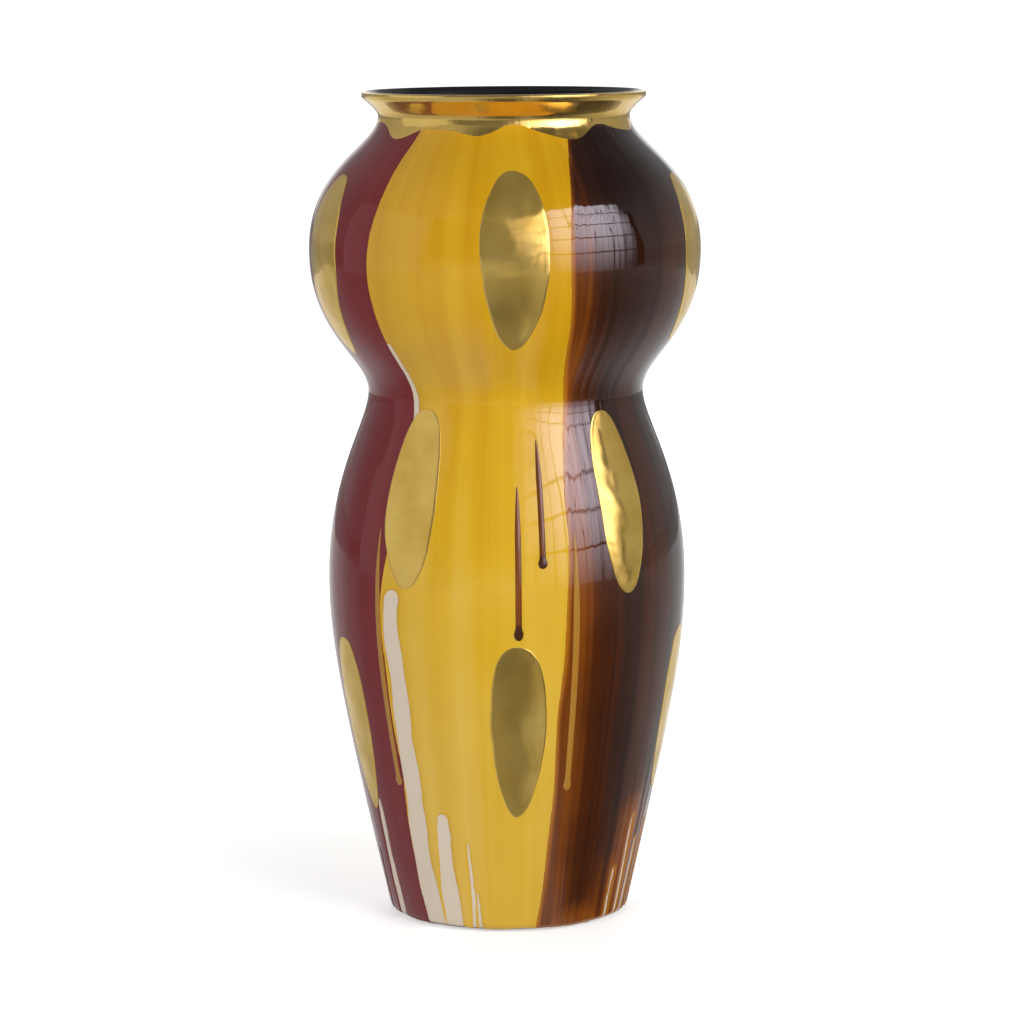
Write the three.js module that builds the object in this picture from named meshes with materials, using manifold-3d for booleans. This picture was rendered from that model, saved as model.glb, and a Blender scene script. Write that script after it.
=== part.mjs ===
// Standing planter: a glazed stoneware vase of double-gourd form with a flared mouth, a planting
// liner that drops into the mouth, a bung in the drain hole and four pads under the foot.
// Millimetres, +Z up. The origin is on the floor, on the vase's axis, and the front faces -Y.

import * as THREE from "three";
import { mergeVertices } from "three/addons/utils/BufferGeometryUtils.js";
import Module from "manifold-3d";

const wasm = await Module();
wasm.setup();

// Vase outline: the radius at each waist and swelling, and the rise from one to the next
const FOOT_RADIUS = 79.5;
const FOOT_EDGE = 4.5;
const BELLY_RADIUS = 119.5;
const BELLY_RISE = 227;
const WAIST_RADIUS = 91.5;
const WAIST_RISE = 124.5;
const BULB_RADIUS = 130;
const BULB_RISE = 94.5;
const NECK_RADIUS = 83;
const NECK_RISE = 88;
const LIP_RADIUS = 94;
const LIP_RISE = 16;
const LIP_ROLL = 2.5;
const LIP_SLOPE = 40;

// Fullness of the outline: how far each curve runs straight on from its end, as a share of its rise
const TAPER_SLOPE = 0.229;
const TAPER_RUN = 0.65;
const BELLY_RUN_DOWN = 0.19;
const BELLY_RUN_UP = 0.555;
const WAIST_RUN_DOWN = 0.165;
const WAIST_RUN_UP = 0.24;
const BULB_RUN_DOWN = 0.61;
const BULB_RUN_UP = 0.63;
const NECK_RUN_DOWN = 0.215;
const NECK_RUN_UP = 0.22;
const FLARE_RUN = 0.645;

// Vase wall, floor and foot
const WALL = 7;
const FLOOR_THICKNESS = 9;
const FLOOR_FILLET = 14;
const FOOT_RECESS = 6;
const FOOT_RING_WIDTH = 13;
const FOOT_RING_CHAMFER = 1.5;
const DRAIN_RADIUS = 10;

// Planting liner
const LINER_WALL = 2.2;
const LINER_CLEARANCE = 0.3;
const LINER_DEPTH = 152;
const LINER_BOTTOM_RADIUS = 58;
const LINER_FLOOR_THICKNESS = 3;
const LINER_FOOT_HEIGHT = 4;
const LINER_FOOT_WIDTH = 5;
const COLLAR_DROP = 4;
const LINER_HOLE_RADIUS = 2.5;
const LINER_HOLE_COUNT = 8;
const LINER_HOLE_INSET = 22;
const HOLE_OVERRUN = 3;

// Drain plug
const PLUG_CLEARANCE = 0.3;
const PLUG_DRAFT = 0.8;
const PLUG_FLANGE_OVERLAP = 7;
const PLUG_FLANGE_THICKNESS = 3.5;
const PLUG_NOSE = 2;
const PLUG_NECK_RADIUS = 4.5;
const PLUG_KNOB_RADIUS = 8;
const PLUG_KNOB_HEIGHT = 14;
const PLUG_KNOB_CROWN = 3;
const PLUG_EDGE = 1;

// Foot pads
const PAD_COUNT = 4;
const PAD_RADIUS = 5;
const PAD_THICKNESS = 1;
const PAD_EDGE = 0.3;
const PAD_TURN = 45;

// Facets round the axis, steps along each curve, and how near two points are taken as one
const VASE_SEGMENTS = 48;
const LINER_SEGMENTS = 40;
const PLUG_SEGMENTS = 20;
const PAD_SEGMENTS = 16;
const HOLE_SEGMENTS = 10;
const OUTSIDE_STEPS = 8;
const INSIDE_STEPS = 6;
const MOUTH_STEPS = 4;
const ROLL_STEPS = 6;
const EDGE_STEPS = 4;
const HALVINGS = 30;
const NEAR = 1e-3;

const STONEWARE = new THREE.MeshStandardMaterial({ color: 0xd9a520, roughness: 0.12, metalness: 0 });
const BLACK_PLASTIC = new THREE.MeshStandardMaterial({ color: 0x141416, roughness: 0.45, metalness: 0 });
const GREY_RUBBER = new THREE.MeshStandardMaterial({ color: 0x3a3a3c, roughness: 0.8, metalness: 0 });
const CREAM_FELT = new THREE.MeshStandardMaterial({ color: 0xcfc4b0, roughness: 1, metalness: 0 });

const point = (radius, height) => new THREE.Vector2(radius, height);
const above = (from, run) => point(from.x, from.y + run);
const along = (from, direction, run) => from.clone().addScaledVector(direction, run);
const heading = (degrees) => point(1, 0).rotateAround(point(0, 0), THREE.MathUtils.degToRad(degrees));
const bezier = (...points) => new THREE.CubicBezierCurve(...points);

// Main points of the outline, at their heights above the standing face
const footTop = point(FOOT_RADIUS + TAPER_SLOPE * FOOT_EDGE, FOOT_EDGE);
const belly = point(BELLY_RADIUS, BELLY_RISE);
const waist = point(WAIST_RADIUS, belly.y + WAIST_RISE);
const bulb = point(BULB_RADIUS, waist.y + BULB_RISE);
const neck = point(NECK_RADIUS, bulb.y + NECK_RISE);
const crestHeight = neck.y + LIP_RISE;
const lipCentre = point(LIP_RADIUS - LIP_ROLL, crestHeight - LIP_ROLL);
const flareHeading = heading(LIP_SLOPE);
const lipUnderside = along(lipCentre, heading(LIP_SLOPE - 90), LIP_ROLL);
const lipInside = along(lipCentre, heading(LIP_SLOPE + 90), LIP_ROLL);
const throat = point(NECK_RADIUS - WALL, neck.y);
const floorTop = FOOT_RECESS + FLOOR_THICKNESS;

// The curves that join them, from the foot up
const taperRise = belly.y - footTop.y;
const taperCurve = bezier(
  footTop,
  along(footTop, point(TAPER_SLOPE, 1), TAPER_RUN * taperRise),
  above(belly, -BELLY_RUN_DOWN * taperRise),
  belly,
);
const waistCurve = bezier(
  belly,
  above(belly, BELLY_RUN_UP * WAIST_RISE),
  above(waist, -WAIST_RUN_DOWN * WAIST_RISE),
  waist,
);
const bulbCurve = bezier(
  waist,
  above(waist, WAIST_RUN_UP * BULB_RISE),
  above(bulb, -BULB_RUN_DOWN * BULB_RISE),
  bulb,
);
const shoulderCurve = bezier(
  bulb,
  above(bulb, BULB_RUN_UP * NECK_RISE),
  above(neck, -NECK_RUN_DOWN * NECK_RISE),
  neck,
);
const flareRise = lipUnderside.y - neck.y;
const flareCurve = bezier(
  neck,
  above(neck, NECK_RUN_UP * flareRise),
  along(lipUnderside, flareHeading, -FLARE_RUN * flareRise),
  lipUnderside,
);
const mouthRise = lipInside.y - throat.y;
const mouthCurve = bezier(
  throat,
  above(throat, NECK_RUN_UP * mouthRise),
  along(lipInside, flareHeading, -FLARE_RUN * mouthRise),
  lipInside,
);

// The point at a share of a rising curve, moved by an offset square to it, towards the axis
function offsetPoint(curve, share, offset) {
  const tangent = curve.getTangent(share);
  return along(curve.getPoint(share), point(-tangent.y, tangent.x), offset);
}

// Such points from one share of the curve to another
function offsetPoints(curve, steps, offset, first = 0, last = 1) {
  return Array.from({ length: steps + 1 }, (_, i) =>
    offsetPoint(curve, first + ((last - first) * i) / steps, offset),
  );
}

// The share at which an offset curve that rises all the way comes up to a height, found by halving
function shareAtHeight(curve, offset, height) {
  let low = 0;
  let high = 1;
  for (let i = 0; i < HALVINGS; i += 1) {
    const middle = (low + high) / 2;
    if (offsetPoint(curve, middle, offset).y < height) low = middle;
    else high = middle;
  }
  return low;
}

// The stretches of an offset curve that lie below and above a height
function offsetBelow(curve, steps, offset, height) {
  return offsetPoints(curve, steps, offset, 0, shareAtHeight(curve, offset, height));
}
function offsetAbove(curve, steps, offset, height) {
  return offsetPoints(curve, steps, offset, shareAtHeight(curve, offset, height), 1);
}

// Points of an arc about a centre, from one heading to another in degrees
function arcPoints(centre, radius, from, to, steps) {
  return Array.from({ length: steps + 1 }, (_, i) =>
    along(centre, heading(from + ((to - from) * i) / steps), radius),
  );
}

// A round fillet or rounded edge between two points, pulled towards the corner
function cornerPoints(start, corner, end) {
  return new THREE.QuadraticBezierCurve(start, corner, end).getPoints(EDGE_STEPS);
}

// A closed outline of radius and height turned about +Z. Repeated points are dropped.
function turned(points, segments) {
  const outline = points.filter((p, i) => i === 0 || p.distanceTo(points[i - 1]) > NEAR);
  if (outline[0].x > 0) outline.push(outline[0].clone());
  return new THREE.LatheGeometry(outline, segments).rotateX(Math.PI / 2);
}

// A closed geometry as a manifold solid
function solidOf(geometry) {
  const bare = geometry.clone();
  bare.deleteAttribute("normal");
  bare.deleteAttribute("uv");
  const merged = mergeVertices(bare, NEAR);
  return new wasm.Manifold(
    new wasm.Mesh({
      numProp: 3,
      vertProperties: merged.attributes.position.array,
      triVerts: new Uint32Array(merged.index.array),
    }),
  );
}

// A manifold solid as a geometry
function geometryOf(solid) {
  const mesh = solid.getMesh();
  const geometry = new THREE.BufferGeometry();
  geometry.setAttribute("position", new THREE.BufferAttribute(mesh.vertProperties, 3));
  geometry.setIndex(new THREE.BufferAttribute(mesh.triVerts, 1));
  geometry.computeVertexNormals();
  return geometry;
}

function named(name, geometry, material) {
  const mesh = new THREE.Mesh(geometry, material);
  mesh.name = name;
  return mesh;
}

// The vase: one fired shell with a drain hole through its floor and a raised ring to stand on
function vaseShell() {
  const ringInner = FOOT_RADIUS - FOOT_EDGE - FOOT_RING_WIDTH;
  const lowerWall = offsetAbove(taperCurve, INSIDE_STEPS, WALL, floorTop + FLOOR_FILLET);
  const floorCorner = point(lowerWall[0].x - TAPER_SLOPE * FLOOR_FILLET, floorTop);
  const outside = [
    point(DRAIN_RADIUS, FOOT_RECESS),
    point(ringInner - FOOT_RING_CHAMFER, FOOT_RECESS),
    point(ringInner, FOOT_RING_CHAMFER),
    point(ringInner + FOOT_RING_CHAMFER, 0),
    ...cornerPoints(point(FOOT_RADIUS - FOOT_EDGE, 0), point(FOOT_RADIUS, 0), footTop),
    ...taperCurve.getPoints(OUTSIDE_STEPS),
    ...waistCurve.getPoints(OUTSIDE_STEPS),
    ...bulbCurve.getPoints(OUTSIDE_STEPS),
    ...shoulderCurve.getPoints(OUTSIDE_STEPS),
    ...flareCurve.getPoints(MOUTH_STEPS),
    ...arcPoints(lipCentre, LIP_ROLL, LIP_SLOPE - 90, 90, ROLL_STEPS),
    ...arcPoints(lipCentre, LIP_ROLL, 90, LIP_SLOPE + 90, EDGE_STEPS),
  ];
  const inside = [
    ...mouthCurve.getPoints(MOUTH_STEPS).reverse(),
    ...offsetPoints(shoulderCurve, INSIDE_STEPS, WALL).reverse(),
    ...offsetPoints(bulbCurve, INSIDE_STEPS, WALL).reverse(),
    ...offsetPoints(waistCurve, INSIDE_STEPS, WALL).reverse(),
    ...lowerWall.reverse(),
    ...cornerPoints(lowerWall.at(-1), floorCorner, point(floorCorner.x - FLOOR_FILLET, floorTop)),
    point(DRAIN_RADIUS, floorTop),
  ];
  return named("vase_shell", turned([...outside, ...inside], VASE_SEGMENTS), STONEWARE);
}

// The liner: a tapered pot whose collar hangs in the flared mouth, with drain holes in its raised floor
function plantingLiner() {
  const bottom = crestHeight - LINER_DEPTH;
  const floorUnder = bottom + LINER_FOOT_HEIGHT;
  const floorUpper = floorUnder + LINER_FLOOR_THICKNESS;
  const collarTop = crestHeight - COLLAR_DROP;
  const collarOutside = offsetBelow(mouthCurve, MOUTH_STEPS, LINER_CLEARANCE, collarTop);
  const collarInside = offsetBelow(mouthCurve, MOUTH_STEPS, LINER_CLEARANCE + LINER_WALL, collarTop);
  const wallFoot = point(LINER_BOTTOM_RADIUS - LINER_WALL, floorUpper);
  const footInner = LINER_BOTTOM_RADIUS - LINER_FOOT_WIDTH;
  const pot = solidOf(
    turned(
      [
        point(0, floorUnder),
        point(footInner, floorUnder),
        point(footInner, bottom),
        point(LINER_BOTTOM_RADIUS, bottom),
        ...collarOutside,
        ...collarInside.reverse(),
        wallFoot,
        point(0, floorUpper),
      ],
      LINER_SEGMENTS,
    ),
  );
  const holeLength = LINER_FLOOR_THICKNESS + 2 * HOLE_OVERRUN;
  const holeCircle = LINER_BOTTOM_RADIUS - LINER_HOLE_INSET;
  const hole = new THREE.CylinderGeometry(LINER_HOLE_RADIUS, LINER_HOLE_RADIUS, holeLength, HOLE_SEGMENTS);
  hole.rotateX(Math.PI / 2);
  const centres = [new THREE.Vector3(0, 0, 0)];
  for (let i = 0; i < LINER_HOLE_COUNT; i += 1) {
    const turn = (2 * Math.PI * i) / LINER_HOLE_COUNT;
    centres.push(new THREE.Vector3(holeCircle * Math.cos(turn), holeCircle * Math.sin(turn), 0));
  }
  const drained = centres.reduce(
    (solid, c) => solid.subtract(solidOf(hole.clone().translate(c.x, c.y, (floorUnder + floorUpper) / 2))),
    pot,
  );
  return named("planting_liner", geometryOf(drained), BLACK_PLASTIC);
}

// The plug: a bung dropped into the drain hole from inside, with a flange and a knob to pull it by
function drainPlug() {
  const stemRadius = DRAIN_RADIUS - PLUG_CLEARANCE;
  const flangeRadius = DRAIN_RADIUS + PLUG_FLANGE_OVERLAP;
  const nose = FOOT_RECESS - PLUG_NOSE;
  const flangeTop = floorTop + PLUG_FLANGE_THICKNESS;
  const knobTop = flangeTop + PLUG_KNOB_HEIGHT;
  const outline = [
    point(0, nose),
    point(stemRadius - PLUG_DRAFT - PLUG_EDGE, nose),
    point(stemRadius - PLUG_DRAFT, nose + PLUG_EDGE),
    point(stemRadius, floorTop),
    point(flangeRadius, floorTop),
    ...cornerPoints(
      point(flangeRadius, flangeTop - PLUG_EDGE),
      point(flangeRadius, flangeTop),
      point(flangeRadius - PLUG_EDGE, flangeTop),
    ),
    point(PLUG_NECK_RADIUS, flangeTop),
    ...cornerPoints(
      point(PLUG_NECK_RADIUS, (flangeTop + knobTop) / 2),
      point(PLUG_KNOB_RADIUS, (flangeTop + knobTop) / 2),
      point(PLUG_KNOB_RADIUS, knobTop - PLUG_KNOB_CROWN),
    ),
    ...cornerPoints(
      point(PLUG_KNOB_RADIUS, knobTop - PLUG_KNOB_CROWN),
      point(PLUG_KNOB_RADIUS, knobTop),
      point(0, knobTop),
    ),
  ];
  return named("drain_plug", turned(outline, PLUG_SEGMENTS), GREY_RUBBER);
}

// A pad: a small felt disc stuck under the middle of the foot ring
function footPad(index) {
  const outline = [
    point(0, 0),
    point(PAD_RADIUS - PAD_EDGE, 0),
    point(PAD_RADIUS, PAD_EDGE),
    point(PAD_RADIUS, PAD_THICKNESS),
    point(0, PAD_THICKNESS),
  ];
  const pad = named(`foot_pad_${index + 1}`, turned(outline, PAD_SEGMENTS), CREAM_FELT);
  const turn = THREE.MathUtils.degToRad(PAD_TURN + (360 * index) / PAD_COUNT);
  const circle = FOOT_RADIUS - FOOT_EDGE - FOOT_RING_WIDTH / 2;
  pad.position.set(circle * Math.cos(turn), circle * Math.sin(turn), 0);
  return pad;
}

const planter = new THREE.Group();
const vase = new THREE.Group();
vase.position.z = PAD_THICKNESS;
vase.add(vaseShell(), plantingLiner(), drainPlug());
planter.add(vase);
for (let i = 0; i < PAD_COUNT; i += 1) planter.add(footPad(i));

export default planter;
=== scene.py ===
"""Dresses a standing planter: a tall double-gourd vase of glazed stoneware with a gilt mouth.

Metres, +Z up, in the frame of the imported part. The front faces -Y. Angles round the vase are
measured from the front and grow towards +X. The glazes are thin raised coats on the fired body.
"""

import logging
import math
import random
from dataclasses import dataclass
from enum import Enum, IntEnum

import bpy
import numpy as np
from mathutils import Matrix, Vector

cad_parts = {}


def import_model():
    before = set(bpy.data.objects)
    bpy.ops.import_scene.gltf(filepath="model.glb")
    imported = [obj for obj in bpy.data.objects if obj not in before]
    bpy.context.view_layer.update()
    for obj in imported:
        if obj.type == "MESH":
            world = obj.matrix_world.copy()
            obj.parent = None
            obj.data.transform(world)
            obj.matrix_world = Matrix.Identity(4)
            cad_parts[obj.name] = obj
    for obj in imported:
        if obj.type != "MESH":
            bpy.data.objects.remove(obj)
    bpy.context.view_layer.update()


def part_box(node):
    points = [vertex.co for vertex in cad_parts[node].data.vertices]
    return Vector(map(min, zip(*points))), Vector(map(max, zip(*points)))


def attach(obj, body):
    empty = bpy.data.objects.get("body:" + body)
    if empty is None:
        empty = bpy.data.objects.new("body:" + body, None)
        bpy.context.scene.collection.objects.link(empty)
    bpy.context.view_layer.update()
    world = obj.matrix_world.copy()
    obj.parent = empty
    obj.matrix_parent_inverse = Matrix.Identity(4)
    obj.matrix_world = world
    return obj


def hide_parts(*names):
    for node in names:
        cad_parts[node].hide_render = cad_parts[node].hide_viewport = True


LOG = logging.getLogger("planter")
PHOTO_SIDE = 1024
TURN = 2 * math.pi
QUARTER = 90.0

# How many octaves a noise has
SMOOTH = 1.0
PLAIN = 2.0
FINE = 3.0
RICH = 4.0

Colour = tuple[float, float, float]
Span = tuple[float, float]
Stops = tuple[tuple[float, Colour], ...]
Array = np.ndarray
Line = Array | list[Span]
Faces = list[list[int]]
Edges = list[tuple[int, int]]
Piece = bpy.types.Object
Finish = bpy.types.Material
Wire = bpy.types.NodeSocket
Feed = Wire | float | int | tuple | str | list
Inputs = dict[str | int, Feed]

WHITE: Colour = (1.0, 1.0, 1.0)
SAME_POINT = 1e-7


class Body(Enum):
    """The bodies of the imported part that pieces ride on."""

    VASE = "vase"
    LINER = "liner"
    PLUG = "plug"


class Slot(Enum):
    """The names of the record's material slots."""

    MUSTARD = "glaze_mustard"
    MAROON = "glaze_maroon"
    BROWN = "glaze_brown"
    WHITE = "glaze_white"
    GOLD = "gold_lustre"
    LINER = "liner_plastic"
    PLUG = "plug_rubber"
    PAD = "pad_felt"


class Zone(IntEnum):
    """Where a point of a turned section lies, which picks its finish."""

    OUTSIDE = 0
    INSIDE = 1
    BARE = 2


class Socket(Enum):
    """The kinds of socket on a geometry tree."""

    GEOMETRY = "NodeSocketGeometry"
    OBJECT = "NodeSocketObject"
    FINISH = "NodeSocketMaterial"
    COUNT = "NodeSocketInt"
    SIZE = "NodeSocketFloat"


class NodeBench:
    """A node tree with short ways to add nodes and wire them, for shaders and for geometry."""

    def __init__(self, tree: bpy.types.NodeTree) -> None:
        """Takes the tree that the nodes go into."""
        self.tree = tree

    def feed(self, node: bpy.types.Node, inputs: Inputs) -> None:
        """Fills input sockets of a node.

        Args:
            node: The node.
            inputs: What each socket gets, by name or number: a socket or a list of them, or a value.
        """
        for key, value in inputs.items():
            for item in value if isinstance(value, list) else [value]:
                if isinstance(item, Wire):
                    self.tree.links.new(item, node.inputs[key])
                else:
                    node.inputs[key].default_value = item

    def add(self, kind: str, inputs: Inputs | None = None, **settings: object) -> bpy.types.Node:
        """Adds a node.

        Args:
            kind: The node's type name.
            inputs: What its input sockets get.
            settings: The node's own properties.

        Returns:
            The new node.
        """
        node = self.tree.nodes.new(kind)
        for name, value in settings.items():
            setattr(node, name, value)
        self.feed(node, inputs or {})
        return node

    def out(self, kind: str, inputs: Inputs | None = None, **settings: object) -> Wire:
        """Adds a node and gives its first output."""
        return self.add(kind, inputs, **settings).outputs[0]

    def math(self, operation: str, *terms: Feed) -> Wire:
        """The result of a Math node on one to three terms."""
        return self.out("ShaderNodeMath", dict(enumerate(terms)), operation=operation)

    def vector(self, operation: str, *terms: Feed) -> Wire:
        """The vector result of a Vector Math node."""
        return self.out("ShaderNodeVectorMath", dict(enumerate(terms)), operation=operation)

    def scaled(self, vector: Feed, scale: Feed) -> Wire:
        """A vector times a number."""
        return self.out("ShaderNodeVectorMath", {"Vector": vector, "Scale": scale}, operation="SCALE")

    def combined(self, x: Feed = 0.0, y: Feed = 0.0, z: Feed = 0.0) -> Wire:
        """A vector from its three parts."""
        return self.out("ShaderNodeCombineXYZ", {"X": x, "Y": y, "Z": z})

    def parts(self, vector: Feed) -> bpy.types.NodeOutputs:
        """The X, Y and Z outputs of a vector."""
        return self.add("ShaderNodeSeparateXYZ", {"Vector": vector}).outputs

    def spread(self, value: Feed, span: Span, target: Span) -> Wire:
        """A value mapped smoothly from one range to another, and held at its ends."""
        inputs = dict(enumerate((value, *span, *target)))
        return self.out("ShaderNodeMapRange", inputs, interpolation_type="SMOOTHSTEP")

    def noise(self, vector: Feed, scale: float, detail: float = PLAIN) -> Wire:
        """Noise from 0 to 1 on a vector."""
        return self.out("ShaderNodeTexNoise", {"Vector": vector, "Scale": scale, "Detail": detail})

    def flow_noise(self, flow: Span, detail: float) -> Wire:
        """Noise that runs round the vase and up it, with no seam.

        Args:
            flow: How far one radian round the vase counts, and one metre up it.
            detail: The noise's octaves.

        Returns:
            Noise from 0 to 1.
        """
        round_scale, up_scale = flow
        place = self.object_place()
        level = self.vector("MULTIPLY", place, (1.0, 1.0, 0.0))
        around = self.scaled(self.vector("NORMALIZE", level), round_scale)
        climb = self.vector("MULTIPLY", place, (0.0, 0.0, up_scale))
        return self.noise(self.vector("ADD", around, climb), 1.0, detail)

    def ramp(self, factor: Feed, stops: Stops) -> Wire:
        """A colour ramp over a factor.

        Args:
            factor: Where on the ramp to read.
            stops: The place and linear colour of each stop, in rising order.

        Returns:
            The ramp's colour.
        """
        node = self.add("ShaderNodeValToRGB", {"Fac": factor})
        elements = node.color_ramp.elements
        while len(elements) < len(stops):
            elements.new(1.0)
        for element, (place, colour) in zip(elements, stops, strict=True):
            element.position = place
            element.color = (*colour, 1.0)
        return node.outputs[0]

    def bump(self, height: Feed, distance: float, strength: Feed, *below: Feed) -> Wire:
        """A bumped normal from a height, on top of another bumped normal if one is given."""
        inputs = {"Height": height, "Distance": distance, "Strength": strength}
        return self.out("ShaderNodeBump", inputs | {"Normal": normal for normal in below})

    def object_place(self) -> Wire:
        """Object coordinates, which are the part's own frame."""
        return self.add("ShaderNodeTexCoord").outputs["Object"]

    def attribute(self, name: str) -> Wire:
        """A number that a mesh keeps for each of its points."""
        return self.add("ShaderNodeAttribute", attribute_name=name).outputs["Fac"]

    def rays(self) -> tuple[Wire, Wire]:
        """Whether a ray comes straight from the camera, and whether it was mirrored or let through."""
        path = self.add("ShaderNodeLightPath").outputs
        return (
            path["Is Camera Ray"],
            self.math("MAXIMUM", path["Is Glossy Ray"], path["Is Transmission Ray"]),
        )


class TreeBench(NodeBench):
    """The bench of a new geometry tree that takes in a geometry and named inputs, and gives a geometry."""

    def __init__(self, name: str, inputs: dict[str, Socket]) -> None:
        """Starts the tree.

        Args:
            name: The tree's name.
            inputs: The kind of each named input.
        """
        super().__init__(bpy.data.node_groups.new(name, "GeometryNodeTree"))
        face = self.tree.interface
        for label, kind in {"Geometry": Socket.GEOMETRY, **inputs}.items():
            face.new_socket(label, in_out="INPUT", socket_type=kind.value)
        face.new_socket("Geometry", in_out="OUTPUT", socket_type=Socket.GEOMETRY.value)
        self.given = self.add("NodeGroupInput").outputs

    def shape(self, kind: str, inputs: Inputs | None = None, **settings: object) -> Wire:
        """Adds a geometry node and gives its first output."""
        return self.out(f"GeometryNode{kind}", inputs, **settings)

    def realized(self, shape: Wire) -> Wire:
        """A geometry with its instances made real."""
        return self.shape("RealizeInstances", {"Geometry": shape})

    def raised(self, placed: Inputs, height: Feed) -> Wire:
        """Real copies of a shape on points, raised to a height."""
        copies = self.realized(self.shape("InstanceOnPoints", placed))
        return self.shape("SetPosition", {"Geometry": copies, "Offset": self.combined(z=height)})

    def dress(self, shape: Wire, finish: Wire) -> bpy.types.NodeTree:
        """Gives a geometry its finish, puts it out, and gives the tree."""
        dressed = self.shape("SetMaterial", {"Geometry": shape, "Material": finish})
        return self.add("NodeGroupOutput", {"Geometry": dressed}).id_data


class FinishBench(NodeBench):
    """The bench of a new node material."""

    def __init__(self, name: str) -> None:
        """Starts the material.

        Args:
            name: The material's name.
        """
        self.material = bpy.data.materials.new(name)
        self.material.use_nodes = True
        super().__init__(self.material.node_tree)

    def dress(self, inputs: Inputs) -> Finish:
        """Fills the material's principled shader and gives the material."""
        self.feed(self.tree.nodes["Principled BSDF"], inputs)
        return self.material


@dataclass(frozen=True)
class Glaze:
    """A glossy poured glaze: its tones from thin to deep, and what moves its tone between them.

    The weights say how much each thing moves the tone along the ramp: streaks that follow the pour,
    fine lines in them, clouds, the depth away from the coat's own edge, the thin feather at that edge,
    the rise up the vase and the thinning towards its foot; on the mustard the rise is painted light,
    paler low down where the lamps light it less. A flow counts radians round and metres up.
    """

    name: str
    tones: Stops
    base_tone: float = 0.5
    streaks: float = 0.3
    streak_flow: Span = (8.5, 1.6)
    lines: float = 0.12
    line_flow: Span = (34.0, 2.2)
    clouds: float = 0.15
    cloud_scale: float = 16.0
    cloud_span: Span = (0.3, 0.75)
    edge: float = 0.0
    edge_width: float = 0.01
    feather: float = 0.0
    feather_width: float = 0.004
    rise: float = 0.0
    rise_span: Span = (0.0, 0.55)
    foot_fade: float = 0.0
    foot_span: Span = (0.0, 0.12)
    gloss: Span = (0.03, 0.08)
    waves: float = 0.0005
    wave_flow: Span = (4.0, 14.0)
    ridges: float = 0.0001
    ridge_flow: Span = (16.0, 3.0)
    ridge_reach: float = 1.0
    ridge_rest: float = 0.08
    grit: float = 0.00002
    grit_scale: float = 260.0
    grit_strength: float = 0.5
    ior: float = 1.6

    def material(self) -> Finish:
        """Builds the glaze's node material.

        Returns:
            The material.
        """
        bench = FinishBench(self.name)
        place = bench.object_place()
        height = bench.parts(place)["Z"]
        inset = bench.attribute("edge")
        clouds = bench.noise(place, self.cloud_scale)
        shifts = (
            bench.spread(inset, (0.0, self.edge_width), (0.0, self.edge)),
            bench.spread(inset, (0.0, self.feather_width), (-self.feather, 0.0)),
            # The rise deepens the tone with height; on the mustard this is painted light on the lower
            # body.
            bench.spread(height, self.rise_span, (0.0, self.rise)),
            bench.spread(height, self.foot_span, (-self.foot_fade, 0.0)),
        )
        patterns = (
            (bench.flow_noise(self.streak_flow, FINE), self.streaks),
            (bench.flow_noise(self.line_flow, PLAIN), self.lines),
            (clouds, self.clouds),
        )
        tone = self.base_tone - (self.streaks + self.lines + self.clouds) / 2
        for shift in shifts:
            tone = bench.math("ADD", shift, tone)
        for pattern, weight in patterns:
            tone = bench.math("MULTIPLY_ADD", pattern, weight, tone)
        slow = bench.bump(bench.flow_noise(self.wave_flow, SMOOTH), self.waves, 1.0)
        fall = bench.spread(inset, (0.0, self.ridge_reach), (1.0, self.ridge_rest))
        runs = bench.bump(bench.flow_noise(self.ridge_flow, SMOOTH), self.ridges, fall, slow)
        grit = bench.noise(place, self.grit_scale, SMOOTH)
        dressed = {
            "Base Color": bench.ramp(tone, self.tones),
            "Roughness": bench.spread(clouds, self.cloud_span, self.gloss),
            "Normal": bench.bump(grit, self.grit, self.grit_strength, runs),
            "IOR": self.ior,
        }
        return bench.dress(dressed)


@dataclass(frozen=True)
class Lustre:
    """Mirror gold lustre, brushed on and fired, a little uneven where the brush went."""

    name: str
    tones: Stops
    patch_scale: float = 42.0
    gloss: Span = (0.08, 0.2)
    waves: float = 0.0006
    wave_scale: float = 55.0
    wave_detail: float = 1.5
    wave_strength: float = 0.8
    stroke_flow: Span = (26.0, 9.0)
    stroke_span: Span = (0.3, 0.7)
    stroke_depth: float = 0.00025
    stroke_strength: float = 0.5
    metal: float = 1.0

    def material(self) -> Finish:
        """Builds the lustre's node material.

        Returns:
            The material.
        """
        bench = FinishBench(self.name)
        place = bench.object_place()
        strokes = bench.flow_noise(self.stroke_flow, FINE)
        waves = bench.noise(place, self.wave_scale, self.wave_detail)
        slow = bench.bump(waves, self.waves, self.wave_strength)
        dressed = {
            "Base Color": bench.ramp(bench.noise(place, self.patch_scale, FINE), self.tones),
            "Roughness": bench.spread(strokes, self.stroke_span, self.gloss),
            "Normal": bench.bump(strokes, self.stroke_depth, self.stroke_strength, slow),
            "Metallic": self.metal,
        }
        return bench.dress(dressed)


class Grain(Enum):
    """The fine surface of a matt finish: its noise scale, its depth, and whether it is fibrous."""

    MOULDED = (900.0, 0.00006, False)
    SOFT = (420.0, 0.00008, False)
    FIRED = (640.0, 0.00015, False)
    FELTED = (1500.0, 0.0004, True)


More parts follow.
